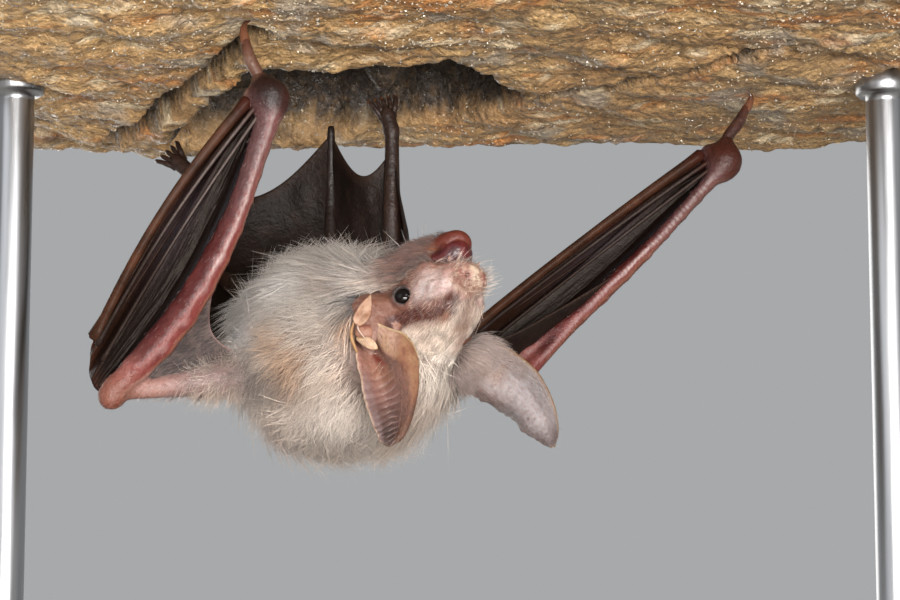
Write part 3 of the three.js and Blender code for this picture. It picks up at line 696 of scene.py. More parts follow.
# ---- an unwrap of the skin: each part is a tube cut open along its hidden side ----
charts = {  # line through the part, the side opposite the cut, and where it lies on the map
    "head": ([inHead(-11, 0, 1), inHead(0, 0, 0.5), inHead(10, 0, -0.4)], headCrown,
             (0.01, 0.51, 0.43, 0.48)),
    "body": ([(-9, -11, -6.5), (-13, 0, -7), (-16, 18, -2), (-16.5, 36, 3)], (0, 0, -1),
             (0.48, 0.51, 0.47, 0.48)),
    "jaw": ([inJaw(-1, 0, 0), inJaw(9, 0, 0)], -headCrown, (0.01, 0.32, 0.2, 0.17)),
    "tail": (tailLine, (0, -1, 0), (0.24, 0.32, 0.2, 0.17)),
}
for i, name in enumerate(arms):
    arm, leg = arms[name], legs[name]
    charts["arm_" + name] = ([arm["shoulder"], arm["elbow"], arm["wrist"], arm["thumb"][-1]], (0, -1, 0),
                             (0.01 + 0.48 * i, 0.01, 0.2, 0.29))
    charts["leg_" + name] = ([leg["hip"], leg["knee"], leg["ankle"], leg["toes"]], (0, -1, 0),
                             (0.24 + 0.48 * i, 0.01, 0.2, 0.29))


def onChart(points, part):
    # share round the part and share along it
    line, side = np.array(charts[part][0], float), np.array(charts[part][1], float)
    lengths = np.linalg.norm(np.diff(line, axis=0), axis=1)
    starts = np.concatenate([[0], np.cumsum(lengths)[:-1]]) / lengths.sum()
    nearest, found = np.full(len(points), np.inf), np.zeros((len(points), 2))
    for i, length in enumerate(lengths):
        along = (line[i + 1] - line[i]) / length
        across = unit(side - along * (side @ along))
        up = np.cross(along, across)
        away = points - line[i]
        t = np.clip(away @ along, 0, length)
        gap = np.linalg.norm(away - t[:, None] * along, axis=1)
        share = np.stack([np.arctan2(away @ up, away @ across) / (2 * math.pi) + 0.5,
                          starts[i] + t / lengths.sum()], 1)
        closer = gap < nearest
        found[closer], nearest[closer] = share[closer], gap[closer]
    return found


def placeOnMap(share, part):
    left, low, wide, high = charts[part][2]
    return share * [wide, high] + [left, low]


def mapOf(points, faces, parts):
    # the map's corners, with faces across a part's cut kept whole
    corners = []
    for group in faces:
        uv = np.zeros((*group.shape, 2))
        owner = parts[group[:, 0]]
        for index, part in enumerate(partNames):
            mine = owner == index
            share = onChart(points[group[mine].ravel()], part).reshape(-1, group.shape[1], 2)
            split = np.ptp(share[..., 0], axis=1) > 0.5
            share[split, :, 0] += share[split, :, 0] < 0.5
            uv[mine] = placeOnMap(share, part)
        corners.append(uv.reshape(-1, 2))
    return np.concatenate(corners)


# ---- markings, shared by the skin and the coat ----
markings = {
    # the line of the painted shadow between the bare muzzle and the crown's fur
    "browShadowLine": [(-0.5, 4.6, 3.4), (1.4, 3.7, 2.9), (3.2, 2.5, 3.0), (4.6, 1.5, 2.6), (6.0, 1.2, 1.7)],
    # colour, strength, reach, and the place: front, distance from the middle, crown
    "cheeks": [
        ("84492f", 0.7, 2.2, (1.8, 4.2, -2.2)),
        ("9c5f46", 0.5, 1.7, (4.4, 3.4, -2.4)),
        ("ead2ce", 0.95, 2.1, (4.0, 3.4, 0.7)),
    ],
    "edges": [
        # the first five rows darken the edge along the brow as painted shadow; the rows after them are
        # browns on the cheek, chin and throat
        ("542818", 0.9, 1.9, (0.6, 3.9, 3.2)),
        ("5c2c1c", 0.9, 1.2, (2.4, 3.2, 2.9)),
        ("6b3623", 0.9, 1.1, (4.2, 2.4, 2.4)),
        ("66392a", 0.85, 0.9, (5.8, 1.5, 1.6)),
        ("74422d", 0.75, 2.2, (-1.2, 4.6, 3.2)),
        ("7d5240", 0.6, 2.5, (-1.2, 6.9, 1.8)),
        ("453029", 0.95, 3.0, (-2.2, 5.0, -5.0)),
        ("5e3626", 0.95, 2.8, (0.6, 3.9, -5.4)),
        ("433731", 0.9, 2.2, (-3.4, 5.6, -3.0)),
        ("8a563f", 0.7, 1.6, (-1.6, 4.8, -0.6)),
        ("84503c", 0.75, 1.9, (0.0, 4.4, -2.6)),
        ("a5735f", 0.6, 1.5, (5.2, 2.6, -3.0)),
    ],
    # the wrist, the thumb and the highlights painted on it as pale spots, and how light the arm is
    "arms": {
        "left": {"wrist": "26100b", "thumb": "74503f", "thumbHighlightSpots": "a78d80", "light": 0.6},
        "right": {"wrist": "54261a", "thumb": "4a2a22", "thumbHighlightSpots": "6b4638", "light": 0.47},
    },
    "nose": [
        ("c07c72", 0.6, 1.0, (7.2, 1.6, -2.2)),
        ("8a3836", 1, 0.45, (8.3, 1.1, -0.7)),
        ("6b3329", 0.9, 0.3, (4.4, 4.0, 0.55)),
    ],
    "throatFur": [
        ("625a58", 0.8, 1.6, (-2.7, 5, -3.2)),
        ("7d716b", 0.5, 2.2, (-3.2, 5.0, -5.0)),
        ("7a5c4e", 0.8, 1.8, (0.4, 4.2, -5.0)),
        ("54423a", 0.8, 1.5, (-1.6, 5.0, -2.6)),
    ],
    "browFur": [
        ("7d5240", 0.8, 1.0, (1.8, 3.2, 3.3)),
        ("85604b", 0.8, 1.0, (4.2, 1.7, 2.9)),
        ("6b564b", 0.8, 1.0, (6.2, 0.9, 1.8)),
    ],
    # colour, strength, and the patch on the side that shows: across, up, half width, half height
    "tipPatches": [
        ("b98c62", 0.6, -19.9, -8, 3.2, 4.5),
        ("b98c62", 0.45, -22.5, -4.5, 2.4, 3),
        ("e3e1e2", 0.8, -26, -3.2, 2.6, 4),
        ("dcd8d4", 0.6, -20, 2.3, 3, 3),
        ("85766f", 0.85, -24.5, -10.2, 4.2, 2.6),
        ("776761", 0.5, -20.5, -11.4, 2.2, 2),
        ("6b5c56", 0.8, -27.5, -8.6, 3, 2.2),
        ("b3907f", 0.7, -23, -17, 4.4, 3),
        ("ebe1d7", 0.6, -13.3, -15.0, 8, 4),
        ("6d6a6c", 0.7, -12.4, 2.6, 1.8, 1.8),
        ("b48a6c", 0.7, -12.9, -4.2, 1.9, 3.2),
        ("ebe0d4", 0.6, 0, -8.5, 4.5, 4.5),
        ("c9ab98", 0.6, 2.5, -15, 3, 3),
    ],
    "rootPatches": [
        ("3c322e", 0.8, -24.5, -10.2, 4.4, 3),
        ("3b393b", 0.8, -12.4, 2.6, 2.2, 2.2),
        ("7f5636", 0.6, -19.9, -8, 3.2, 4.5),
    ],
}


def spots(places, rows):
    return [(near(places, at, reach) * share, colour) for colour, share, reach, at in rows]


def headShare(points):
    return (points - headMiddle) @ headAxes.T / headScale


def facePlace(points):
    # front, distance from the middle, and crown, so that both sides are marked alike
    place = headShare(points)
    place[:, 1] = np.abs(place[:, 1])
    return place


eyePlaces = [eyeCentre(hand) for hand in (-1, 1)]


def eyeDistance(points):
    return np.min([np.linalg.norm(points - place, axis=-1) for place in eyePlaces], 0)


def browShadowBand(points):
    # 1 along the painted shadow on the edge between the bare muzzle and the crown's fur
    right, inFace = headShare(points)[:, 1], facePlace(points)
    line = alongCurve(markings["browShadowLine"], np.linspace(0, 1, 25))
    away = np.min([np.linalg.norm(inFace - place, axis=1) for place in line], 0)
    return ease((1.3 + 0.5 * roughness(points, 1.0, 45, 2) - away) / 0.8) * mix(1, 0.3, ease(right - 0.4))


def bareFace(points):
    # 1 where the muzzle and the skin round the eye are bare, 0 in the coat
    front, right, crown = headShare(points).T
    side = np.abs(right)
    crest = np.interp(front, [-3, 0, 2.6, 4.6, 6.1, 6.9], [5.4, 3.9, 2.6, 1.15, 0.9, 0])
    muzzle = np.maximum(ease((side - crest) / 0.5 + 0.5), ease((-0.8 - crown) / 0.8) * ease(front - 2))
    muzzle = muzzle * ease(front + 2.3) * (1 - ease(right / 0.5) * ease((crown - 0.2) / 0.8))
    furLine = np.interp(front, [-2, 1.5, 4], [5.0, 4.6, 3.5])
    muzzle = muzzle * ease((crown + 6.5) / 1.5) * ease((furLine - crown) / 0.7)
    tip = ease((front - 6.8) / 0.8)
    cheek = ease((front + 1.2 - 0.5 * (crown + 4)) / 1.2) * ease((-2.0 - crown) / 1.5)
    cheek = cheek * ease((side - 2.0) / 0.8)
    return np.clip(np.maximum.reduce([muzzle, tip, cheek, ease((2.6 - eyeDistance(points)) / 0.8)]), 0, 1)


def fleshColours(points, normals, part):
    inFace = facePlace(points)
    front, side, crown = inFace.T
    patchy = roughness(points, 1.6, 3, 2)
    fine = roughness(points, 0.5, 9, 2)
    whole = np.ones((len(points), 3))
    names = np.array(partNames)[part]
    colours = whole * paint("8d7a6c")
    body = tinted("84736a", (near(points, (-24, 2, -10), 6), "5c4b42"),
                  (near(inFace, (0.2, 4.8, 4.2), 3.2), "79503f"))
    colours = np.where((names == "body")[:, None], body, colours)
    eyeAway = eyeDistance(points)
    blotch, pale = roughness(points, 1.1, 21, 3), roughness(points, 0.8, 27, 3)
    head = tinted(
        "b08a80",
        (0.3 + 0.9 * fine, "ac7564"),
        (ease((0.2 - front) / 2.0) * 0.7, "a8745c"),
        (0.4 + 0.8 * patchy, "c09a8e"),
        (ease((blotch - 0.02) / 0.25) * 0.8, "804837"),
        (ease((pale - 0.05) / 0.25) * 0.55, "d6bdb2"),
        *spots(inFace, markings["cheeks"]),
        # painted highlight on the muzzle's pad
        (near(inFace, (4.0, 3.4, 0.7), 1.9) * ease((pale + 0.1) / 0.2) * 0.75, "fbeeea"),
        *spots(inFace, markings["edges"]),
        (ease((front - 6.4) / 1.2) * 0.8, "9c7f6c"),
        # painted glints on the nose tip
        (ease((front - 6.2) / 1.2) * ease((pale - 0.02) / 0.15) * 0.8, "dccbb2"),
        (ease((front - 6.2) / 1.2) * ease((blotch - 0.08) / 0.15) * 0.7, "7d4a3a"),
        *spots(inFace, markings["nose"]),
        (ease((-crown - 4.0) / 0.6) * ease((front - 1) / 1.5) * 0.8, "8c403a"),
        (ease((2.5 - eyeAway) / 0.7) * 0.55, "7d5547"),
        (ease((1.8 - eyeAway) / 0.25) * 0.9, "383838"),
        # painted shadow along the brow's edge
        (browShadowBand(points) * 0.92, "471a0f"),
    )
    colours = np.where((names == "head")[:, None], head * 0.62, colours)
    jawFront = (points - inJaw(0, 0, 0)) @ unit(inJaw(1, 0, 0) - inJaw(0, 0, 0))
    inside = ease((points - inJaw(0, 0, 0)) @ jawCrown / 0.5 - 0.7)
    jaw = tinted("7d4826", (0.4 + patchy, "5e341b"), (ease((jawFront - 4.8) / 1.4) * 0.85, "4f1c18"),
                 (inside * 0.95, "451316"), (ease((1.5 - front) / 2) * 0.6, "5e4538"))
    colours = np.where((names == "jaw")[:, None], jaw, colours)
    for name, arm in arms.items():
        along = onChart(points, "arm_" + name)[:, 1]
        armLength = unit(arm["wrist"] - arm["elbow"])
        away = unit(np.cross(armLength, arm["front"]))
        away = away * np.sign(away @ (arm["wrist"] - arm["fingerRoot"]))
        across = normals @ away + 0.12 * roughness(points * (1, 1, 0.25), 1.2, 5, 2)
        facing = ease(normals @ unit(arm["front"]) * 1.6)
        streaks = 0.6 + 0.7 * roughness(points * (1, 1, 0.2), 0.7, 6, 3)
        wristAt = np.linalg.norm(points - arm["wrist"], axis=1)
        fore = ease((along - 0.36) / 0.03)
        reddened = fore * ease((0.12 - across) / 0.22)
        pastWrist = np.linalg.norm(points - arm["wrist"] - armLength * 1.4, axis=1)
        onThumb = ease((along - 0.9) / 0.02) * ease((wristAt - 3.0) / 0.8)
        tones = markings["arms"][name]
        limb = tinted(
            "8a403c",
            (ease((0.34 - along) / 0.06), "b58a80"),
            (ease((0.25 - along) / 0.08) * 0.8, "8d7672"),
            (reddened, "4a0f0f"),
            (reddened * streaks * 0.35, "74332c"),
            # a pale stripe along the tendon, painted as a highlight where the forearm faces the front
            (fore * facing * ease(1.1 - np.abs(across - 0.38) / 0.26) * (0.6 + 0.5 * streaks)
             * (0.3 + 0.7 * ease((along - 0.48) / 0.15)), "d9c2bd"),
            (fore * np.clip(streaks - 0.75, 0, 1) * 1.6 * ease((0.75 - along) / 0.2), "5e2220"),
            (fore * ease((across - 0.7) / 0.15) * 0.85, "a06c58"),
            (fore * ease((across - 0.9) / 0.06) * 0.8, "7a3f30"),
            (fore * ease((along - 0.6) / 0.2) * 0.5, "6f5a5a"),
            (ease(0.1 + patchy) * 0.3, "84413a"),
            (near(points, arm["elbow"], 2.4) * 0.92, "7d452b"),
            (near(points, mix(arm["elbow"], arm["wrist"], 0.08), 1.6) * 0.35, "b4837a"),
            (ease((4.4 - pastWrist) / 1.6) * 0.98, tones["wrist"]),
            (ease((3.4 - wristAt) / 2) * ease(across * 1.5 - 0.2) * 0.5, "5a2414"),
            (onThumb, tones["thumb"]),
            # pale spots painted on the thumb as highlights
            (onThumb * ease(0.1 + patchy) * 0.7, tones["thumbHighlightSpots"]),
            (ease((along - 0.975) / 0.02) * 0.85, "5f3324"),
            (ease((0.14 - along) / 0.08), "84736a"),
        )
        colours = np.where((names == "arm_" + name)[:, None], limb * tones["light"], colours)
        # the legs: dark brown, painted darker still as shade
        shin = tinted("22150f", (0.5 + patchy, "2f1e17"))
        colours = np.where((names == "leg_" + name)[:, None], shin, colours)
    # the tail: dark brown, painted darker still as shade
    colours = np.where((names == "tail")[:, None], whole * paint("1a0f0a"), colours)
    return colours * (1 + 0.08 * patchy + 0.06 * fine)[:, None]


skinShape["flesh"] = fleshColours(skinPoints, skinNormals, skinPart)
isArm = np.isin(np.array(partNames)[skinPart], ["arm_left", "arm_right"])
atWrist = np.min([np.linalg.norm(skinPoints - arm["wrist"], axis=1) for arm in arms.values()], 0)
fromElbow = np.min([np.linalg.norm(skinPoints - arm["elbow"], axis=1) for arm in arms.values()], 0)
armGloss = isArm * 0.12 * ease((fromElbow - 3) / 8) * ease((atWrist - 3.4) / 2)
noseGloss = ease((headShare(skinPoints)[:, 0] - 6.5) / 1.5) * 0.7
skinShape["wet"] = np.maximum(armGloss, noseGloss)
skinMap = mapOf(skinPoints, skinFaces, skinPart)
say("markings and map")


# ---- materials ----
def node(tree, kind, inputs=None, **settings):
    made = tree.nodes.new(kind)
    for key, value in settings.items():
        setattr(made, key, value)
    for key, value in (inputs or {}).items():
        if isinstance(value, bpy.types.NodeSocket):
            tree.links.new(value, made.inputs[key])
        else:
            made.inputs[key].default_value = value
    return made


def newMaterial(name, values):
    # a material, its node tree and its shader; values go straight onto the shader's sockets
    made = bpy.data.materials.new(name)
    made.use_nodes = True
    shader = made.node_tree.nodes["Principled BSDF"]
    for key, value in values.items():
        shader.inputs[key].default_value = value
    return made, made.node_tree, shader


def noiseOn(tree, scale, detail=3, stretch=None, distortion=0):
    place = node(tree, "ShaderNodeTexCoord").outputs["Object"]
    if stretch:
        place = node(tree, "ShaderNodeMapping", {"Vector": place, "Scale": stretch}).outputs[0]
    return node(tree, "ShaderNodeTexNoise", {"Vector": place, "Scale": scale, "Detail": detail,
                                             "Distortion": distortion}).outputs[0]


def rescaled(tree, value, low, high, start=0.0, end=1.0):
    return node(tree, "ShaderNodeMapRange", {"Value": value, "From Min": start, "From Max": end,
                                             "To Min": low, "To Max": high}).outputs[0]


def colourMix(tree, share, a, b, mode="MIX"):
    made = node(tree, "ShaderNodeMix", data_type="RGBA", blend_type=mode)
    for index, value in ((0, share), (6, a), (7, b)):
        if isinstance(value, bpy.types.NodeSocket):
            tree.links.new(value, made.inputs[index])
        else:
            colour = paint(value) if isinstance(value, str) else value
            made.inputs[index].default_value = colour if index == 0 else (*colour, 1)
    return made.outputs[2]


def roughen(tree, shader, *bumps):
    # stacks bumps, each (height, distance in mm, strength), onto the shader
    normal = None
    for height, distance, strength in bumps:
        inputs = {"Height": height, "Distance": distance / 1000, "Strength": strength}
        if normal is not None:
            inputs["Normal"] = normal
        normal = node(tree, "ShaderNodeBump", inputs).outputs[0]
    tree.links.new(normal, shader.inputs["Normal"])


def feed(shader, value, key="Base Color"):
    shader.id_data.links.new(value, shader.inputs[key])


def attributeOf(tree, name, output="Color"):
    return node(tree, "ShaderNodeAttribute", attribute_name=name).outputs[output]


def fleshMaterial(name, gloss, subsurface, wrinkle):
    made, tree, shader = newMaterial(name, {"Subsurface Weight": subsurface, "Subsurface Scale": 0.0012,
                                            "Subsurface Radius": (1.0, 0.5, 0.35),
                                            "Specular IOR Level": 0.36})
    speckle = noiseOn(tree, 2600, 4)
    tone = colourMix(tree, rescaled(tree, speckle, 0, 0.7, 0.5, 0.75), attributeOf(tree, "flesh"),
                     (0.55, 0.33, 0.28), "MULTIPLY")
    tone = colourMix(tree, rescaled(tree, noiseOn(tree, 5200, 2), 0, 0.4, 0.55, 0.8), tone, tone, "ADD")
    feed(shader, tone)
    rough = rescaled(tree, noiseOn(tree, 1500, 3), gloss - 0.1, gloss + 0.14)
    dried = rescaled(tree, attributeOf(tree, "wet", "Fac"), 0, -0.17)
    rough = node(tree, "ShaderNodeMath", {0: rough, 1: dried}, operation="ADD").outputs[0]
    feed(shader, rough, "Roughness")
    place = node(tree, "ShaderNodeTexCoord").outputs["Object"]
    cells = node(tree, "ShaderNodeTexVoronoi", {"Vector": place, "Scale": 3400},
                 feature="DISTANCE_TO_EDGE").outputs[0]
    roughen(tree, shader, (noiseOn(tree, 1400, 4), 0.35 * wrinkle, 0.5), (cells, 0.1 * wrinkle, 0.4))
    return made


skinFinish = fleshMaterial("bare skin", 0.46, 0.12, 1.0)
earFinish = fleshMaterial("ear skin", 0.55, 0.18, 0.7)
replaced = ["head", "neck", "trunk", "lower_jaw", "tail"]
limbNodes = ("upper_arm", "forearm", "wrist", "thumb", "thigh", "shin", "foot")
replaced += [f"{part}_{name}" for name in hands for part in limbNodes]
makePiece("bat_skin", skinShape, skinFinish, "coat", replaced, ["flesh", "wet"], skinMap)
say("skin piece")

# ---- the coat ----
coat = {
    "seed": 7,
    "layers": {  # length and width in mm; a lock is a number of strands drawn together by a share
        "under": {"strands": 32000, "inPiece": 16000, "long": 4.9, "wide": 0.155, "lock": 17,
                  "gather": 0.6},
        "over": {"strands": 39000, "inPiece": 13000, "long": 6.6, "wide": 0.064, "lock": 14, "gather": 0.7},
    },
    "head": {"strands": 27500, "inPiece": 13750, "wide": 0.077, "lock": 8, "gather": 0.4},
}
dice = np.random.default_rng(coat["seed"])


def strandTree(material, name):
    # a tree that grows one curved, tapered strand on each point and joins them all
    tree = bpy.data.node_groups.new(name, "GeometryNodeTree")
    sockets = tree.interface
    sockets.new_socket("Geometry", in_out="INPUT", socket_type="NodeSocketGeometry")
    for label, value in (("Width", 0.02), ("Bend", 0.3), ("Wave", 0.03), ("Patch", 0.003)):
        sockets.new_socket(label, in_out="INPUT", socket_type="NodeSocketFloat").default_value = value
    for label, value in (("Segments", 3), ("Sides", 3), ("Seed", 1)):
        sockets.new_socket(label, in_out="INPUT", socket_type="NodeSocketInt").default_value = value
    sockets.new_socket("Geometry", in_out="OUTPUT", socket_type="NodeSocketGeometry")
    given = node(tree, "NodeGroupInput").outputs

    def maths(operation, a, b=0.0):
        return node(tree, "ShaderNodeMath", {0: a, 1: b}, operation=operation).outputs[0]

    def stored(geometry, label, value, kind, domain):
        return node(tree, "GeometryNodeStoreNamedAttribute",
                    {"Name": label, "Geometry": geometry, "Value": value},
                    data_type=kind, domain=domain).outputs[0]

    def named(label, kind):
        return node(tree, "GeometryNodeInputNamedAttribute", {"Name": label},
                    data_type=kind).outputs["Attribute"]

    strands = node(tree, "GeometryNodeJoinGeometry")
    for phase in range(4):
        line = node(tree, "GeometryNodeCurvePrimitiveLine", {"End": (0, 0, 1)}).outputs[0]
        line = node(tree, "GeometryNodeResampleCurve",
                    {"Curve": line, "Count": maths("ADD", given["Segments"], 1)}).outputs[0]
        along = node(tree, "GeometryNodeSplineParameter").outputs["Factor"]
        line = stored(line, "along", along, "FLOAT", "POINT")
        fall = maths("MULTIPLY", maths("MULTIPLY", along, along), given["Bend"])
        swing = maths("SINE", maths("MULTIPLY_ADD", along, 4.2 + phase))
        swing = maths("MULTIPLY", maths("MULTIPLY", swing, given["Wave"]), 1 if phase % 2 else -1)
        shift = node(tree, "ShaderNodeCombineXYZ", {"X": fall, "Y": swing}).outputs[0]
        line = node(tree, "GeometryNodeSetPosition", {"Geometry": line, "Offset": shift}).outputs[0]
        ring = node(tree, "GeometryNodeCurvePrimitiveCircle",
                    {"Resolution": given["Sides"], "Radius": 0.5}).outputs[0]
        ring = stored(ring, "around", along, "FLOAT", "POINT")
        along = named("along", "FLOAT")
        taper = maths("SUBTRACT", 1, maths("MULTIPLY", maths("POWER", along, 1.6), 0.93))
        width = maths("MULTIPLY", taper, given["Width"])
        grown = node(tree, "GeometryNodeCurveToMesh",
                     {"Curve": line, "Profile Curve": ring, "Scale": width}).outputs[0]
        grown = node(tree, "GeometryNodeGeometryToInstance", {"Geometry": grown}).outputs[0]
        tree.links.new(grown, strands.inputs[0])
    turned = node(tree, "FunctionNodeAxesToRotation",
                  {0: named("aim", "FLOAT_VECTOR"), 1: named("fall", "FLOAT_VECTOR")},
                  primary_axis="Z", secondary_axis="X").outputs[0]
    chosen = node(tree, "FunctionNodeRandomValue", {"Seed": given["Seed"], 4: 0, 5: 3},
                  data_type="INT").outputs[2]
    placed = node(tree, "GeometryNodeInstanceOnPoints", {
        "Points": given["Geometry"], "Instance": strands.outputs[0], "Pick Instance": True,
        "Instance Index": chosen, "Rotation": turned, "Scale": named("long", "FLOAT")}).outputs[0]
    real = node(tree, "GeometryNodeRealizeInstances", {"Geometry": placed}).outputs[0]
    parts = node(tree, "ShaderNodeSeparateXYZ", {0: named("root", "FLOAT_VECTOR")}).outputs
    across = maths("MULTIPLY", maths("SUBTRACT", named("around", "FLOAT"), 0.33), given["Patch"])
    upward = maths("MULTIPLY", maths("SUBTRACT", named("along", "FLOAT"), 0.5), given["Patch"])
    patch = node(tree, "ShaderNodeCombineXYZ",
                 {"X": maths("ADD", parts[0], across), "Y": maths("ADD", parts[1], upward)})
    real = stored(real, "OFBake", patch.outputs[0], "FLOAT2", "CORNER")
    smooth = node(tree, "GeometryNodeSetShadeSmooth", {"Geometry": real}).outputs[0]
    # light falls on the strands partly as on the body under them, which keeps the coat soft
    own = node(tree, "GeometryNodeInputNormal").outputs[0]
    softened = node(tree, "ShaderNodeMix", {0: 0.45, 4: own, 5: named("lift", "FLOAT_VECTOR")},
                    data_type="VECTOR").outputs[1]
    softened = node(tree, "ShaderNodeVectorMath", {0: softened}, operation="NORMALIZE").outputs[0]
    smooth = node(tree, "GeometryNodeSetMeshNormal", {"Mesh": smooth, "Custom Normal": softened},
                  mode="FREE").outputs[0]
    painted = node(tree, "GeometryNodeSetMaterial", {"Geometry": smooth, "Material": material}).outputs[0]
    tree.links.new(painted, node(tree, "NodeGroupOutput").inputs[0])
    return tree


def grow(name, roots, tree, settings):
    # roots are arrays: point, aim, fall, long, root (its place on the map), tones
    mesh = bpy.data.meshes.new(name + "_roots")
    mesh.vertices.add(len(roots["point"]))
    mesh.vertices.foreach_set("co", ((roots["point"] + batPlace) / 1000).astype(np.float32).ravel())
    for key, values in roots.items():
        if key == "long":
            store(mesh, key, values / 1000, "FLOAT")
        elif key != "point":
            store(mesh, key, values, "FLOAT_COLOR" if key.endswith("Tone") else "FLOAT_VECTOR")
    source = inScene(name + "_roots", mesh)
    modifier = source.modifiers.new("strands", "NODES")
    modifier.node_group = tree
    for item in tree.interface.items_tree:
        if item.in_out == "INPUT" and item.name in settings:
            modifier[item.identifier] = settings[item.name]
    evaluated = source.evaluated_get(bpy.context.evaluated_depsgraph_get())
    grown = bpy.data.meshes.new_from_object(evaluated)
    grown.name = name
    bpy.data.objects.remove(source)
    piece = inScene(name, grown)
    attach(piece, "root")
    return piece


def coatMaterial(name, rough):
    made, tree, shader = newMaterial(name, {"Roughness": rough, "Sheen Weight": 0.25,
                                            "Sheen Roughness": 0.45, "Specular IOR Level": 0.35})
    along = attributeOf(tree, "along", "Fac")
    tone = colourMix(tree, rescaled(tree, along, 0, 1, 0.12, 0.62), attributeOf(tree, "rootTone"),
                     attributeOf(tree, "tipTone"))
    fleck = rescaled(tree, noiseOn(tree, 900, 2), 0.86, 1.1, 0.3, 0.7)
    fleck = node(tree, "ShaderNodeCombineColor", {0: fleck, 1: fleck, 2: fleck}).outputs[0]
    feed(shader, colourMix(tree, 1.0, tone, fleck, "MULTIPLY"))
    return made


def scattered(count, weight, shape, parts):
    # random places on the faces of a shape, more where the weight is high
    faces = shape["faces"][0]
    corners = shape["points"][faces]
    across = np.cross(corners[:, 2] - corners[:, 0], corners[:, 3] - corners[:, 1])
    chance = np.cumsum(np.linalg.norm(across, axis=1) / 2 * weight[faces].mean(1))
    chosen = np.searchsorted(chance, dice.random(count) * chance[-1])
    u, w = dice.random((2, count))
    shares = np.stack([(1 - u) * (1 - w), u * (1 - w), u * w, (1 - u) * w], 1)
    picked = faces[chosen]

    def between(values):
        return (values[picked] * (shares if values.ndim == 1 else shares[..., None])).sum(1)

    return between, parts[picked[:, 0]]


skinSurface = {"points": skinPoints, "faces": [skinShape["faces"][0]]}
coatFinish = coatMaterial("long fur", 0.62)
shortFinish = coatMaterial("short hair", 0.5)
longTree = strandTree(coatFinish, "long strands")
shortTree = strandTree(shortFinish, "short strands")
names = np.array(partNames)[skinPart]
onBody, onHead, onJaw = (names == part for part in ("body", "head", "jaw"))
bare = bareFace(skinPoints)
headPlace = headShare(skinPoints)


def combed(normals, flow, rise, spread):
    # the way each strand leaves the skin and the way it falls over
    lie = flow - normals * (flow * normals).sum(1)[:, None]
    lie = unit(lie + dice.normal(0, spread, lie.shape))
    lie = unit(lie - normals * (lie * normals).sum(1)[:, None])
    rise = np.radians(rise)[:, None]
    return unit(lie * np.cos(rise) + normals * np.sin(rise)), unit(lie * np.sin(rise) * 0.6 - normals)


def gathered(points, aim, length, size, share):
    # draws neighbouring strands together at their tips, into locks
    centres = dice.choice(len(points), max(len(points) // size, 1), replace=False)
    tree = kdtree.KDTree(len(centres))
    for i, at in enumerate(points[centres]):
        tree.insert(at, i)
    tree.balance()
    lock = np.array([tree.find(at)[1] for at in points])
    lead = centres[lock]
    leadAim = unit(aim[centres] + dice.normal(0, 0.1, (len(centres), 3)))
    tip = points[lead] + leadAim[lock] * length[lead][:, None]
    own = points + aim * length[:, None]
    return unit(mix(own, tip, share[:, None] if np.ndim(share) else share) - points), lock


def furTones(points, normals):
    # the coat's markings: beige crown and back, dark roots, and a grey belly whose upward-facing fur is
    # also darkened as painted shade
    upward = ease(normals[:, 2] * 0.8 + 0.45)
    inFace = facePlace(points)
    front, side, crown = inFace.T
    onHeadShare = ease((9 - np.linalg.norm(points - inHead(-2, 0, 0), axis=1)) / 4)
    patchy = roughness(points, 3.5, 21, 3)
    shown = ease(0.2 - normals[:, 1] * 1.5)

    def patch(x, z, reach, high):
        # how near a place is to a patch on the side that shows
        gap = np.hypot((points[:, 0] - x) / reach, (points[:, 2] * 0.986 - points[:, 1] * 0.165 - z) / high)
        return ease(1.25 - gap) * shown

    tips = tinted(
        "cbbaac",
        # upward-facing fur darker: partly the belly's own grey, partly painted shade
        (upward * 0.9, "9d9389"),
        (onHeadShare * ease((crown + 1) / 2), "dccdbd"),
        *((patch(*place) * share, colour) for colour, share, *place in markings["tipPatches"]),
        *spots(inFace, markings["throatFur"]),
        # painted shadow on the fur tips along the brow's edge
        (browShadowBand(points) * 0.92, "6b2a18"),
        *spots(inFace, markings["browFur"]),
        (ease((front - 5) / 2) * 0.6, "a58c7d"),
        (np.clip(patchy - 0.1, 0, 1) * 0.6, "a08c80"),
        (ease((roughness(points, 2.6, 77, 2) - 0.05) / 0.4) * 0.4, "97806f"),
        (np.clip(-patchy - 0.1, 0, 1) * 0.6, "f4ede6"),
    )
    roots = tinted(
        "6b5a52",
        # darker roots on upward-facing fur, partly painted shade
        (upward * 0.8, "4a4340"),
        (onHeadShare * 0.7, "a58f82"),
        *((patch(*place) * share, colour) for colour, share, *place in markings["rootPatches"]),
        (near(inFace, (-0.4, 4.4, -5.2), 2.4) * 0.85, "6e4432"),
        # painted shadow on the fur roots along the brow's edge
        (browShadowBand(points) * 0.9, "34160e"),
        (np.clip(patchy, 0, 1) * 0.5, "51463f"),
    )
    return roots, tips


def swirled(points, size, seed):
    return np.stack([roughness(points, size, seed + i, 2) for i in range(3)], 1)


def mapPlaces(points, owner):
    places = np.zeros((len(points), 3))
    for index, part in enumerate(partNames):
        mine = owner == index
        places[mine, :2] = placeOnMap(onChart(points[mine], part), part)
    return places


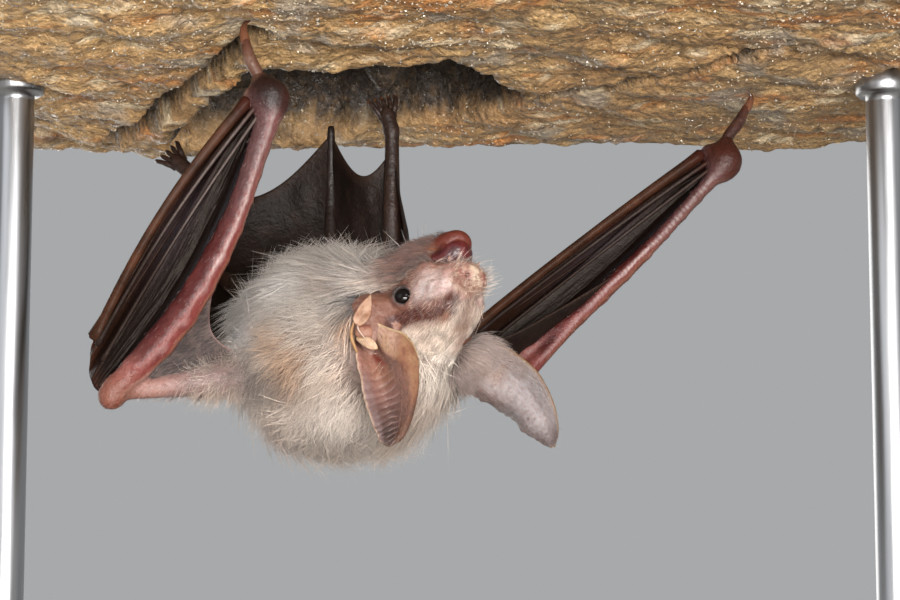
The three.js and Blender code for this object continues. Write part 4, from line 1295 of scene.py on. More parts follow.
def strandsOf(points, normals, owner, flow, length, rise, spread, layer, depth, scatter=0.1):
    # everything the tree needs for one layer of strands
    aim, fall = combed(normals, flow, rise, spread)
    aim, lock = gathered(points, aim, length, layer["lock"], layer["gather"] * dice.random(len(points)))
    rootTone, tipTone = furTones(points + aim * length[:, None] * 0.5, normals)
    shade = dice.normal(1, 0.12, lock.max() + 1)[lock] * dice.normal(1, 0.07, len(points))
    lift = unit(normals * 0.8 + aim * 0.2 + dice.normal(0, scatter, (len(points), 3)))
    return {"point": points - normals * depth, "aim": aim, "lift": lift, "fall": fall,
            "long": length, "root": mapPlaces(points, owner),
            "rootTone": rootTone * dice.normal(1, 0.1, (len(points), 1)),
            "tipTone": tipTone * shade[:, None]}


def growAll(name, roots, order, layer, tree, bend, wave):
    settings = {"Width": layer["wide"] / float(np.median(roots["long"])), "Bend": bend, "Wave": wave,
                "Segments": layer.get("segments", 2), "Sides": 3}
    for number, chosen in enumerate(np.array_split(order, max(1, -(-len(order) // layer["inPiece"])))):
        part = {key: value[chosen] for key, value in roots.items()}
        grow(f"{name}_{number + 1}", part, tree, {**settings, "Seed": number})


fewer = 1
# no hair grows in the open ear
earFolds = [(-10.15, -13.6, -3.4), (-10.3, -13.6, -6.3), (-10.6, -14.2, -8.2), (-8.4, -13.6, -6.2),
            (-9.2, -13.8, -9), (-8.9, -13.2, -9.8)]
openEar = np.min([np.linalg.norm(skinPoints - np.array(place), axis=1) for place in earFolds], 0)

# the trunk's and neck's coat: a dense under layer and longer, finer hair over it
amount = onBody * ease((34 - skinPoints[:, 1]) / 4)
amount *= 1 - 0.8 * ease((3.5 - np.linalg.norm(skinPoints - inHead(-4, 0, 0.8), axis=1)) / 2)
clear = ease((openEar - np.interp(skinPoints[:, 0], [-11.8, -11.2], [0.9, 2.9])) / 0.8)
clear *= 1 - bare * ease(headPlace[:, 0] + 3)
clear *= 1 - near(headPlace, (0.2, -4.8, 4.2), 2.8)
amount *= clear
for name, arm in arms.items():
    share = onChart(skinPoints, "arm_" + name)[:, 1]
    amount = np.maximum(amount, (names == "arm_" + name) * ease((0.2 - share) / 0.07) * 0.9)
for name, leg in legs.items():
    share = onChart(skinPoints, "leg_" + name)[:, 1]
    amount = np.maximum(amount, (names == "leg_" + name) * ease((0.2 - share) / 0.1) * 0.7)
for name, layer in coat["layers"].items():
    between, owner = scattered(layer["strands"] // fewer, amount, skinSurface, skinPart)
    points, normals = between(skinPoints), unit(between(skinNormals))
    headward = ease((-1 - points[:, 1]) / 8)[:, None]
    flow = unit(mix(np.array([0, 1, -0.15]), -headForward + (0, 0, -0.2), headward))
    flow = unit(flow + swirled(points, 5.5, 301) * 0.75 + swirled(points, 2.0, 311) * 0.3)
    onLimb = np.isin(np.array(partNames)[owner], ["arm_left", "arm_right", "leg_left", "leg_right"])
    length = layer["long"] * (0.62 + 0.38 * ease((30 - points[:, 1]) / 14))
    length = length * dice.normal(1, 0.18, len(points)).clip(0.5, 1.4)
    length *= np.where(onLimb, 0.45, 1.0) * (1 - 0.25 * headward[:, 0])
    rise = 37 + 18 * roughness(points, 4, 31, 2) - 6 * onLimb + (5 if name == "over" else 0)
    roots = strandsOf(points, normals, owner, flow, length, rise, 0.34, layer, 0.15)
    turn = np.arctan2(points[:, 2] + 6, points[:, 0] + 15)
    growAll("coat_" + name, roots, np.argsort(turn + 1e-3 * points[:, 1]), layer, longTree, 0.5, 0.07)
say("trunk coat")

# the head's coat, shorter towards the face and thin on its bare skin
layer = coat["head"]
cheeky = ease(headPlace[:, 0] + 3.5) * ease((-2.0 - headPlace[:, 2]) / 1.5)
cheeky *= ease((4.5 - headPlace[:, 0]) / 3)
bare = np.maximum(bare, onJaw * ease((headPlace[:, 0] + 1.5) / 1.5))
dense = np.maximum(1 - bare, 0.13 + 0.6 * cheeky + 0.2 * ease(np.abs(headPlace[:, 1]) - 5.2))
amount = (onHead | onJaw) * dense * np.where(onJaw, ease((4.2 - headPlace[:, 0]) / 3), 1)
hairless = np.interp(skinPoints[:, 0], [-11.8, -11.2], [0.7, 3.0])
amount *= (1 + 1.2 * ease((headPlace[:, 0] + 3) / 3)) * ease((openEar - hairless) / 0.8)
muzzle = facePlace(skinPoints)
amount *= 1 - 0.95 * near(muzzle, (5.3, 1.6, -3.6), 2.0)
amount *= ease((eyeDistance(skinPoints) - 1.9) / 0.4) * ease((9.0 - headPlace[:, 0]) / 0.5)
between, owner = scattered(layer["strands"] // fewer, amount, skinSurface, skinPart)
points, normals, thin = between(skinPoints), unit(between(skinNormals)), between(bare)
front, right, crown = headShare(points).T
flow = unit(-headForward + headCrown * 0.1 + np.array([0, 0, -0.25]))
outward = 0.35 * unit(points - inHead(-3, 0, 0)) * ease((-front - 2) / 4)[:, None]
flow = np.broadcast_to(flow, points.shape) + outward + swirled(points, 3, 321) * 0.5
length = (1.4 + 3.4 * ease((3.2 - front) / 8.5)) * (1 - 0.4 * ease((4.2 - eyeDistance(points)) / 2))
throat = ease((1.2 - front) / 2.5) * ease((-1.2 - crown) / 1.5)
chin = ease((-1.8 - crown) / 1.5)
length = mix(length, 0.75 + 0.5 * chin, 0.9 * thin) * dice.normal(1, 0.18, len(points)).clip(0.5, 1.5)
length += 1.6 * throat * (1 - 0.6 * thin)
rise = 28 + 10 * ease((-front - 1) / 5) + 9 * roughness(points, 2.2, 33, 2)
rise = rise + 8 * thin + 16 * throat + 14 * thin * chin
roots = strandsOf(points, normals, owner, flow, length, rise, 0.26, layer, 0.1, 0.3)
brownish = chin * thin
roots["tipTone"] = tinted(roots["tipTone"], (thin * 0.6 * (1 - browShadowBand(points)), "a88a78"),
                          (brownish * 0.9, "64443a"), (throat * (1 - thin) * 0.6, "a3968c"))
roots["rootTone"] = tinted(roots["rootTone"], (brownish * 0.9, "39221a"))
variety = dice.normal(0.97, np.where(thin > 0.5, 0.42, 0.16)).clip(0.3, 1.8)
roots["tipTone"] = roots["tipTone"] * variety[:, None]
growAll("coat_head", roots, np.argsort(front), layer, shortTree, 0.3, 0.03)
say("head coat")

# ---- ears ----
def ribPhase(u, w):
    uneven = roughness(onFlat(u * 3, w * 8), 1, 43, 2)
    return 2 * math.pi * (17 * w - 3.2 * u + 1.6 * (u - 0.62) ** 2 + 0.3 * np.sin(7 * w) + 0.28 * uneven)


def ruled(lines, u, w):
    # a surface through guide lines, with u across them and w along them
    return np.swapaxes(alongCurve(np.stack([alongCurve(line, w[:, 0]) for line in lines]), u), 0, 1)


def earSurface(ear, hand):
    def surface(u, w):
        places = ruled(ear["lines"], np.interp(u[0], ear["stations"], np.linspace(0, 1, 4)), w)
        normal = unit(np.cross(np.gradient(places, axis=1), np.gradient(places, axis=0)))
        hollow = ease((u - 0.38) / 0.14) * ease((0.97 - u) / 0.08)
        hollow = hollow * ease((w - 0.2) / 0.15) * ease((0.97 - w) / 0.1)
        ribs = np.sin(ribPhase(u, w))
        crinkle = ease((u - 0.88) / 0.12) * ease(w / 0.1) * ease((1 - w) / 0.05)
        wave = np.sin(w * 61 + 2 * np.sin(w * 23)) * 0.16 + np.sin(w * 27) * 0.12
        rim = 0.22 * np.exp(-((u - 0.015) / 0.03) ** 2) * ease(w / 0.1)
        ridge = 0.18 * np.exp(-((u - 0.34) / 0.05) ** 2) * roughness(onFlat(u * 9, w * 22), 1, 4, 2)
        raised = (0.052 if hand < 0 else 0.04) * ribs * hollow + wave * crinkle * 0.6 + ridge + rim
        return places - normal * (raised * ear["hollowSide"])[..., None]

    return surface


def earColours(shape, inner):
    u, w = shape["u"], shape["w"]
    points = shape["points"]
    patchy = roughness(points, 1.1, 41, 3)
    cells = 0.5 + 0.5 * np.sin(ribPhase(u, w))
    flat = onFlat(u, w * 2)
    band = ease((0.34 - u) / 0.05) * ease((0.72 - w) / 0.12)
    hollow = tinted(
        "a4776a",
        (ease((w - 0.25) / 0.25), "8a625a"),
        (ease((w - 0.5) / 0.2) * 0.85, "5d443d"),
        (ease((w - 0.7) / 0.18) * 0.95, "3f2d28"),
        (ease((0.2 - w) / 0.08) * ease((u - 0.55) / 0.15) * 0.9, "47201b"),
        (near(flat, (0.6, 0.66, 0), 0.2) * 0.6, "9c6b4e"),
        (ease((u - 0.36) / 0.08) * ease((w - 0.22) / 0.1) * ease((0.85 - u) / 0.15) * (cells**4)
         * ease(0.7 - patchy * 2) * 0.5, "c9aca2"),
        (near(flat, (0.55, 0.4, 0), 0.075) * 0.95, "8f2f20"),
        (ease((u - 0.82) / 0.1) * ease((w - 0.25) / 0.2) * 0.6, "8d7876"),
        (ease((0.46 - u) / 0.06) * (0.7 + 0.6 * patchy), "6b452f"),
        (band, "96694d"),
        (band * ease((0.26 - w) / 0.15), "b8937e"),
        (band * ease((u - 0.2) / 0.12) * (0.6 + patchy), "6b4029"),
        (band * np.clip(patchy * 1.8, 0, 1) * ease((w - 0.12) / 0.1), "7a4a33"),
        (band * np.clip(-patchy * 1.2, 0, 1), "a8835f"),
        (ease((0.045 - u) / 0.02) * ease((0.95 - w) / 0.2) * 0.9, "cdb088"),
        (ease((u - 0.97) / 0.02) * 0.8, "c2a68e"),
    )
    outer = tinted(
        "b3a5a4",
        (ease((0.5 - w) / 0.35), "c3a596"),
        (0.45 + patchy, "c3b8b8"),
        (ease((u - 0.6) / 0.2) * ease((0.6 - w) / 0.3) * 0.7, "b08a84"),
        (ease((0.14 - u) / 0.1) * 0.5, "b8a396"),
        (ease((0.04 - u) / 0.02) * 0.95, "b98a50"),
        (ease((w - 0.68) / 0.25) * 0.8, "6e5d5b"),
        (ease((u - 0.72) / 0.06) * ease((w - 0.62) / 0.06) * 0.55, "b7a3a0"),
        (ease((w - 0.975) / 0.02) * 0.8, "b3905f"),
    )
    return np.where(inner[:, None], hollow * 0.6, outer * 0.4) * (1 + 0.08 * patchy)[:, None]


lobes = {
    "flaps": [
        {"thick": 0.34, "tone": "9a7b66", "mottleAndShade": "7a553e", "lines": [  # left edge, middle, right edge
            [(-9.5, -15.3, -1.9), (-10.5, -16.0, -2.95), (-11.3, -16.1, -4.1), (-11.65, -16.0, -4.95),
             (-11.35, -15.8, -5.6)],
            [(-9.5, -15.2, -2.0), (-10.05, -15.6, -3.2), (-10.5, -15.7, -4.3), (-10.9, -15.8, -5.1),
             (-10.95, -15.9, -5.85)],
            [(-9.5, -15.2, -2.1), (-9.4, -15.5, -3.2), (-9.5, -15.8, -4.3), (-9.85, -16.1, -5.1),
             (-10.45, -16.1, -5.7)]]},
        {"thick": 0.4, "tone": "b0937a", "mottleAndShade": "94734f", "lines": [  # upper edge, middle, lower edge
            [(-11.2, -15.9, -7.2), (-10.5, -16.2, -7.35), (-9.9, -16.4, -7.3), (-9.4, -16.6, -7.5),
             (-8.95, -16.9, -8.0), (-8.6, -17.1, -8.75)],
            [(-11.2, -15.9, -7.3), (-10.6, -16.4, -7.6), (-10.1, -16.8, -7.8), (-9.6, -17.0, -8.1),
             (-9.1, -17.1, -8.4), (-8.6, -17.1, -8.78)],
            [(-11.2, -15.9, -7.4), (-10.8, -16.1, -7.8), (-10.3, -16.4, -8.25), (-9.9, -16.6, -8.55),
             (-9.4, -16.8, -8.75), (-8.6, -17.1, -8.8)]]},
    ],
    "pocket": ((-10.25, -15.3, -6.5), (1.2, 0.8, 0.95)),
    "rim": [(-11.55, -15.8, -5.4), (-11.8, -15.8, -6.4), (-11.78, -15.8, -7.3), (-11.5, -15.7, -8.1),
            (-11.15, -15.4, -8.9)],
}
earShapes = {}
for name, ear in ears.items():
    made = sheet(earSurface(ear, hands[name]), 64, 96, 0.42, 0.45)
    count = len(made["points"]) // 2
    hollowWay = np.array((-0.35, -0.92, 0.18) if name == "left" else (0.62, 0.66, 0.3))
    facing = ((made["points"][:count] - made["points"][count:]) @ hollowWay).mean() > 0
    inner = (np.arange(2 * count) < count) == facing
    made["flesh"] = earColours(made, inner)
    made["inner"] = inner.astype(float)
    earShapes[name] = made
    pieces = [made]
    if name == "left":
        # the leaf above the ear, the soft pocket under it, the pointed lobe and the rim beside them
        for flap in lobes["flaps"]:
            leaf = sheet(lambda u, w: ruled(flap["lines"], u[0], w), 22, 30, flap["thick"], 0.3)
            shade = roughness(leaf["points"], 0.9, 8, 2)
            # mottled with its darker colour; painted shade darkens the leaf down its middle and along its
            # last edge
            leaf["flesh"] = tinted(np.ones((len(shade), 3)) * paint(flap["tone"]),
                                   (0.3 + shade, flap["mottleAndShade"]),
                                   (near(leaf["u"], 0.5, 0.3) * ease((0.75 - leaf["w"]) / 0.4) * 0.6,
                                    flap["mottleAndShade"]),
                                   (ease((leaf["w"] - 0.9) / 0.1) * 0.5, flap["mottleAndShade"]))
            pieces.append(leaf)
        centre, radii = lobes["pocket"]
        angles = np.linspace(0, math.pi, 17)
        leaf = revolved(centre, (0, 0, 1),
                        [(-radii[2] * math.cos(a), radii[0] * math.sin(a) ** 0.9) for a in angles], 24)
        leaf["points"] = centre + (leaf["points"] - centre) * (1, radii[1] / radii[0], 1)
        high = ease((leaf["points"][:, 2] - centre[2]) / 0.7 - 0.3)
        leaf["flesh"] = tinted("85604f", (high * 0.9, "6b362d"),
                               (ease((centre[2] - 0.45 - leaf["points"][:, 2]) / 0.4) * 0.7, "98704f"))
        pieces.append(leaf)
        edge = jointed(lobes["rim"], [0.1, 0.2, 0.24, 0.2, 0.16], 26, 8)
        edge["flesh"] = plain(edge, "8f6d49")
        pieces.append(edge)
    else:
        line = [(0.9, -7.6, -7.6), (2.6, -7.6, -9.2), (4.4, -8.2, -10.8), (6.0, -8.8, -12.2)]
        tip = jointed(line, [1.3, 1.15, 0.7, 0.15], 24, 12, 0.4, (1, 0, -1))
        tip["flesh"] = plain(tip, "b08f70")
        pieces.append(tip)
    makePiece("ear_skin_" + name, joined(pieces), earFinish, "ear", [f"ear_{name}", f"tragus_{name}"],
              ["flesh"])
say("ears")

# short hair over the ears' roots and ridge, on the webs' skin, and bristles round the nose
def sideOf(shape, value):
    faces = shape["faces"][0]
    return {"points": shape["points"], "faces": [faces[(shape["inner"][faces] == value).all(1)]]}


def shortHair(name, count, surface, normals, weight, part, flow, length, rise, tones, layer):
    between, owner = scattered(count // fewer, weight, surface,
                               np.full(len(surface["points"]), partNames.index(part)))
    points, normals, length = between(surface["points"]), unit(between(normals)), between(length)
    flow = np.broadcast_to(np.array(flow, float), points.shape) + swirled(points, 2, 331) * 0.35
    length = length * dice.normal(1, 0.2, len(points)).clip(0.4, 1.6)
    roots = strandsOf(points, normals, owner, unit(flow), length, rise + 0 * length, 0.2, layer, 0.05, 0.25)
    for key, tone in zip(("rootTone", "tipTone"), tones):
        tone = paint(tone) if isinstance(tone, str) else between(tone)
        roots[key] = tone * dice.normal(1, 0.14, (len(points), 1))
    growAll("coat_" + name, roots, np.arange(len(points)), layer, shortTree, 0.25, 0.03)


for name, ear in ears.items():
    made = earShapes[name]
    normals = normalsOf(made["points"], made["faces"])
    u, w = made["u"], made["w"]
    toTip = unit(np.array(ear["middle"]) - ear["root"])
    if name == "right":
        cover = ease((0.36 - w) / 0.34) ** 1.5 * (0.35 + 0.65 * ease((u - 0.1) / 0.2)) + 0.045
        long = mix(0.7, 3.0, ease((0.22 - w) / 0.22))
        tips = tinted("aaa09c", (ease((0.4 - w) / 0.3), "8e7d76"))
        shortHair("ear_back_" + name, 3900, sideOf(made, 0), normals, cover, "head", toTip, long, 24,
                  ("54463e", tips), {"wide": 0.055, "lock": 7, "gather": 0.4, "inPiece": 9000})
    ridge = np.exp(-((u - 0.37) / 0.06) ** 2) * ease((w - 0.08) / 0.15) * ease((0.85 - w) / 0.2)
    ridge = ridge + 0.02
    shortHair("ear_ridge_" + name, 1900, sideOf(made, 1), normals, ridge, "head", toTip, 0.75 + 0 * w, 30,
              ("38201a", "7a5446"), {"wide": 0.04, "lock": 3, "gather": 0.2, "inPiece": 9000})
bristly = near(muzzle, (7.2, 1.6, -2.0), 0.9) + near(muzzle, (8.0, 0.7, 0.4), 0.6)
bristly = bristly + 0.3 * near(muzzle, (5.5, 2.3, -3.4), 1.0)
bristly = bristly * onHead * (muzzle[:, 0] < 8.9)
shortHair("bristles", 150, skinSurface, skinNormals, bristly, "head", headForward * 0.7 + (0.3, 0.1, -0.15),
          2.0 + 0 * bare, 52, ("6b4d3e", "cdb9a8"),
          {"wide": 0.045, "lock": 2, "gather": 0.1, "inPiece": 9000, "segments": 3})
for name in hands:
    onArm = names == "arm_" + name
    along = onChart(skinPoints, "arm_" + name)[:, 1]
    cover = onArm * (0.2 + ease((0.36 - along) / 0.08)) * ease((0.9 - along) / 0.05)
    arm = arms[name]
    shortHair("arm_" + name, 1100, skinSurface, skinNormals, cover, "arm_" + name,
              unit(arm["wrist"] - arm["elbow"]) * -1, 0.8 + 0.9 * ease((0.3 - along) / 0.1), 26,
              ("4a3a36", "a8958c"),
              {"wide": 0.035, "lock": 3, "gather": 0.2, "inPiece": 9000})
say("short hair")

# ---- eyes ----
eyeFinish, tree, shader = newMaterial("eye", {"Roughness": 0.05, "Specular IOR Level": 0.22})
feed(shader, colourMix(tree, noiseOn(tree, 900, 2), "020203", "120b08"))
for name, hand in hands.items():
    angles = np.linspace(0, math.pi, 31)
    radius = eye["radius"]
    bulge = [radius * (1 + 0.05 * max(0, -math.cos(a)) ** 6) for a in angles]
    profile = [(-r * math.cos(a), r * math.sin(a)) for a, r in zip(angles, bulge)]
    makePiece("eyeball_" + name, revolved(eyeCentre(hand), -eyeAxis(hand), profile, 48), eyeFinish, "eye",
              ["eye_" + name])

# ---- tongue, gums and teeth ----
mouthFinish, tree, shader = newMaterial("wet mouth", {
    "Roughness": 0.38, "Coat Weight": 0.08, "Coat Roughness": 0.12,
    "Subsurface Weight": 0.2, "Subsurface Scale": 0.001})
tone = colourMix(tree, rescaled(tree, noiseOn(tree, 700, 3), 0, 1, 0.35, 0.65), "2e080b", "521518")
tone = colourMix(tree, rescaled(tree, noiseOn(tree, 2800, 3), 0, 0.5, 0.55, 0.8), tone, "672822")
feed(shader, tone)
roughen(tree, shader, (noiseOn(tree, 1500, 3), 0.25, 0.6), (noiseOn(tree, 4200, 2), 0.08, 0.5))
mouth = {
    "tongue": [  # both ends, both radii and blend
        ((1.6, 0, 0.2), (4.4, 0, 0.8), 2.0, 2.5, 0.5),
        ((4.4, 0, 0.8), (6.0, 0, 0.9), 2.5, 2.0, 0.6),
    ],
    "bulges": [((4.6, -1.0, 1.55), 1.3, 0.7), ((4.6, 1.0, 1.55), 1.3, 0.7), ((3.0, -0.4, 1.4), 1.5, 0.8),
               ((6.2, 0, 1.2), 1.2, 0.7)],
    "fine": 0.16,
    "teeth": [  # what it stands in, root, tip and thickness
        (inJaw, (5.6, 1.85, 0.6), (5.75, 1.75, 1.75), 0.3),
        (inJaw, (4.7, 2.05, 0.7), (4.75, 2.0, 1.3), 0.28),
        (inJaw, (3.8, 2.15, 0.7), (3.8, 2.1, 1.35), 0.32),
        (inHead, (6.6, 1.35, -3.2), (6.7, 1.4, -4.3), 0.3),
        (inHead, (5.4, 1.8, -3.6), (5.4, 1.8, -4.4), 0.32),
        (inJaw, (6.4, 0.4, 0.6), (6.5, 0.4, 1.15), 0.2),
    ],
}
tongueSteps = [("tongue", rod(inJaw(*a), inJaw(*b), startRadius, endRadius, (jawCrown, 0.7)), blend, True)
               for a, b, startRadius, endRadius, blend in mouth["tongue"]]
tongueSteps += [("tongue", ball(inJaw(*place), radius), blend, True)
                for place, radius, blend in mouth["bulges"]]
tongueSteps.append(("tongue", rod(inJaw(2.6, 0, 3.2), inJaw(6.4, 0, 2.9), 0.3, 0.2), 0.7, False))
middle = inJaw(4.2, 0, 1)
tongueAxes = [np.arange(middle[i] - 6, middle[i] + 6, mouth["fine"], dtype=np.float32) for i in range(3)]
makePiece("tongue_and_gums", skinOf(tongueSteps, tongueAxes), mouthFinish, "mouth", ["tongue"])
clawFinish, tree, shader = newMaterial("claw", {
    "Roughness": 0.28, "Subsurface Weight": 0.2, "Subsurface Scale": 0.0008})
tone = colourMix(tree, attributeOf(tree, "share", "Fac"), "6b4430", "2e1a12")
feed(shader, colourMix(tree, rescaled(tree, noiseOn(tree, 1800, 2), 0, 0.5, 0.4, 0.7), tone, "6b3f28"))
roughen(tree, shader, (noiseOn(tree, 3500, 2, (1, 1, 0.2)), 0.05, 0.5))
toothFinish, tree, shader = newMaterial("tooth", {
    "Roughness": 0.3, "Coat Weight": 0.1, "Subsurface Weight": 0.3, "Subsurface Scale": 0.0008})
tone = colourMix(tree, noiseOn(tree, 2500, 2), "b09086", "8a6a5c")
feed(shader, tone)
teeth = []
for hand in (-1, 1):
    for where, root, tip, thick in mouth["teeth"]:
        root, tip = where(*onSide(root, hand)), where(*onSide(tip, hand))
        line = [root, mix(root, tip, 0.5) + headForward * 0.06, tip]
        teeth.append(jointed(line, [thick * 0.75, thick * 0.65, thick * 0.35, 0.06], 9, 9))
makePiece("teeth", joined(teeth), toothFinish, "claw", (), ["share"])
for name, arm in arms.items():
    line = arm["claw"]
    shape = jointed(line, [0.62, 0.56, 0.42, 0.24, 0.07], 20, 12, 0.75)
    makePiece("thumb_claw_horn_" + name, shape, clawFinish, "claw", ["thumb_claw_" + name], ["share"])
nails = [jointed(line, [0.3, 0.27, 0.18, 0.05], 10, 8) for tips in toeTips.values() for line in tips]
makePiece("toe_claws", joined(nails), clawFinish, "claw", (), ["share"])
say("eyes, mouth and claws")

# ---- wings ----
wing = {"pleat": 1.05, "thick": 0.3, "columns": 150, "rows": 84,
        "folds": (2, 2, 1), "foldHeight": 0.34, "crease": 0.11}
fingerShare = {5: 0.36, 4: 0.68, 3: 1.0}


def fingerPoint(arm, share, t):
    t = np.asarray(t, float)[..., None]
    outer = mix(arm["fingerRoot"], arm["knuckle"], t)
    end = mix(arm["elbow"], arm["knuckle"], 0.25 + 0.75 * share)
    place = mix(mix(arm["wrist"], end, t), outer, share**2)
    return place + arm["swell"] * share * np.sin(math.pi * t)


def wingSurface(arm):
    def surface(u, w):
        t = 0.04 + 0.99 * w
        inner = alongCurve(arm["line"], 1 - t[:, 0])[:, None]
        outer = fingerPoint(arm, 1.0, t[:, 0])[:, None]
        across = outer - inner
        length2 = (across**2).sum(-1)
        crests = [np.zeros(len(t))]
        for finger in (5, 4):
            place = fingerPoint(arm, fingerShare[finger], t[:, 0])[:, None]
            crests.append(((place - inner) * across).sum(-1)[:, 0] / length2[:, 0])
        crests.append(np.ones(len(t)))
        height = np.zeros_like(u)
        for section in range(3):
            low, high = crests[section][:, None], crests[section + 1][:, None]
            s = np.clip((u - low) / np.maximum(high - low, 0.02), 0, 1)
            inside = (u >= low) & (u <= high)
            sag = -(1 - np.abs(2 * s - 1) ** 1.6) * (0.85, 1.35, 1.2)[section] + 0.55
            folded = np.abs(np.sin(math.pi * wing["folds"][section] * s)) * wing["foldHeight"]
            folded = folded * arm["pleats"] * np.sin(math.pi * s) ** 0.5
            height = np.where(inside, sag + folded * (0.9 if section else 0.75), height)
        full = np.minimum(1, 0.3 + 3 * t * (1.25 - t)) * np.minimum(1, 0.45 + 6 * u)
        full = full * np.minimum(1, 0.35 + 7 * (1 - u))
        crease = roughness(onFlat(u * 26, w * 9), 1, 51, 3) * wing["crease"]
        crease = crease * arm["pleats"] * ease((0.5 - u) / 0.3 + 0.6)
        rounded = np.where(t > 0.9, 1.7 * np.sin(math.pi * u) * (t - 0.9) * 10, 0)
        places = mix(inner, outer, u[..., None])
        places = places + arm["front"] * ((height * wing["pleat"] + crease) * full)[..., None]
        return places + unit(arm["knuckle"] - arm["fingerRoot"]) * rounded[..., None]

    return surface


wingFinish, tree, shader = newMaterial("wing leather", {
    "Roughness": 0.36, "Specular IOR Level": 0.06, "Specular Tint": (1.0, 0.86, 0.76, 1.0),
    "Subsurface Weight": 0.05, "Subsurface Scale": 0.0008})
tone = colourMix(tree, rescaled(tree, noiseOn(tree, 1400, 4), 0, 0.6, 0.45, 0.75),
                 attributeOf(tree, "flesh"), (0.5, 0.42, 0.38), "MULTIPLY")
feed(shader, tone)
feed(shader, rescaled(tree, noiseOn(tree, 900, 3), 0.28, 0.5), "Roughness")
roughen(tree, shader, (noiseOn(tree, 1100, 4, None, 0.6), 0.2, 0.35), (noiseOn(tree, 3600, 3), 0.06, 0.4))
for name, arm in arms.items():
    made = sheet(wingSurface(arm), wing["columns"], wing["rows"], wing["thick"], 0.5)
    u, w = made["u"], made["w"]
    streak = roughness(onFlat(u * 30, w * 4), 1, 61, 3)
    made["flesh"] = tinted(
        "0e0806",
        # a grey band beside the forearm, its bluish tint a painted sheen
        (ease((0.26 - u) / 0.1) * 0.5 * arm["pleats"], "2a292e"),
        (ease((0.26 - u) / 0.1) * np.clip(streak * 1.3, 0, 1) * arm["pleats"] * ease((w - 0.15) / 0.2),
         "37343a"),
        (ease((u - 0.5) / 0.3) * 0.7, "23140d"),
        (ease((u - 0.8) / 0.15) * 0.8, "38221a"),
        (ease((streak - 0.35) / 0.3) * ease((0.85 - u) / 0.2) * 0.12, "3a3335"),
        # a painted lilac sheen on the broad fold
        (near(np.stack([u, w], -1), (0.72, 0.5), 0.13) * 0.5, "3b3438"),
        (ease((w - 0.93) / 0.07) * 0.5, "38221a"),
        (ease((0.1 - w) / 0.1) * 0.6, "2b1612"),
    )
    bones = []
    for finger, thick in ((5, 0.26), (4, 0.3), (3, 0.7)):
        t = np.linspace(0.02, 1.0, 40)
        stand = np.interp(t, [0, 0.1, 0.9, 1], [0.9, 1.0, 1.0, 0.6])
        line = fingerPoint(arm, fingerShare[finger], t) + arm["front"] * stand[:, None]
        radii = np.interp(t, [0, 0.08, 0.5, 0.93, 1], [1.3, 1.0, 0.8, 0.95, 1.5]) * thick
        bone = tube(line, radii, 10)
        shade = roughness(bone["points"], 2.2, 71, 2)
        crest = normalsOf(bone["points"], bone["faces"]) @ unit(arm["front"])
        # finger 3 darker brown with mottling; a painted highlight along each bone's front-facing crest, and
        # a painted reddish highlight on finger 3's far side
        bone["flesh"] = tinted(np.ones((len(shade), 3)) * paint("2e1c14" if finger == 3 else "241b18"),
                               ((0.4 + shade) * (finger == 3), "44291c"),
                               (ease((crest - 0.7) / 0.25) * (0.15 if finger == 3 else 0.8) * arm["pleats"]
                                * ease((0.7 - bone["share"]) / 0.3), "5d5350"),
                               (ease((-crest - 0.1) / 0.4) * (finger == 3) * 0.6, "5e3626"),
                               (ease((0.12 - bone["share"]) / 0.1), "331812"))
        bones.append(bone)
        # the next bone is folded back beside it
        t = np.linspace(0, 1, 16)
        back = mix(fingerPoint(arm, fingerShare[finger], 1.0),
                   fingerPoint(arm, fingerShare[finger] - 0.13, 0.45), t[:, None])
        bone = tube(back + arm["front"] * (0.35 - 0.9 * t[:, None]),
                    np.interp(t, [0, 0.1, 1], [1.25, 0.75, 0.4]) * thick, 8)
        bone["flesh"] = plain(bone, "231712")
        bones.append(bone)
    makePiece("wing_skin_" + name, made, wingFinish, "wing_skin", ["wing_membrane_" + name], ["flesh"])
    makePiece("finger_bones_" + name, joined(bones), wingFinish, "wing_skin",
              [f"finger_{finger}_{name}" for finger in fingerShare], ["flesh"])
say("wings")


# ---- the webs: in front of the elbow, round the tail, and from the leg to the flank ----
webFolds = {"columns": 60, "thick": 0.32, "fold": 0.38, "wrinkle": 0.05}


def webOf(surface, rows, seed, colours):
    def wrinkled(u, w):
        places = surface(u, w)
        normal = unit(np.cross(np.gradient(places, axis=1), np.gradient(places, axis=0)))
        inside = (np.sin(math.pi * u) * np.sin(math.pi * w))[..., None]
        fold = roughness(places * (1, 1, 0.45), 2.6, seed, 2) * webFolds["fold"]
        fold += roughness(places, 0.9, seed + 5, 2) * webFolds["wrinkle"]
        return places + normal * fold[..., None] * np.clip(inside * 3, 0, 1)

    made = sheet(wrinkled, webFolds["columns"], rows, webFolds["thick"], 0.6)
    made["flesh"] = colours(made["u"], made["w"], made["points"])
    return made


def frontWeb(arm):
    def surface(u, w):
        t = 0.06 + 0.94 * u[..., None]
        onForearm = alongCurve(arm["line"], 0.46 * t[..., 0])
        onUpper = mix(arm["elbow"], arm["shoulder"], 0.95 * t)
        flat = mix(onForearm, onUpper, w[..., None])
        return flat + (arm["elbow"] - flat) * (1.15 * t * t * (w * (1 - w))[..., None])

    return surface


def tailWeb(leg):
    def surface(u, w):
        t = 0.1 + 0.88 * u
        onLeg = alongCurve([leg["hip"], leg["knee"], mix(leg["knee"], leg["ankle"], 0.9)], t)
        between = mix(onLeg, alongCurve(tailLine, t), w[..., None])
        return between + np.array([0, -0.35, -1]) * (5.2 * u * u * np.sin(math.pi * w))[..., None]

    return surface


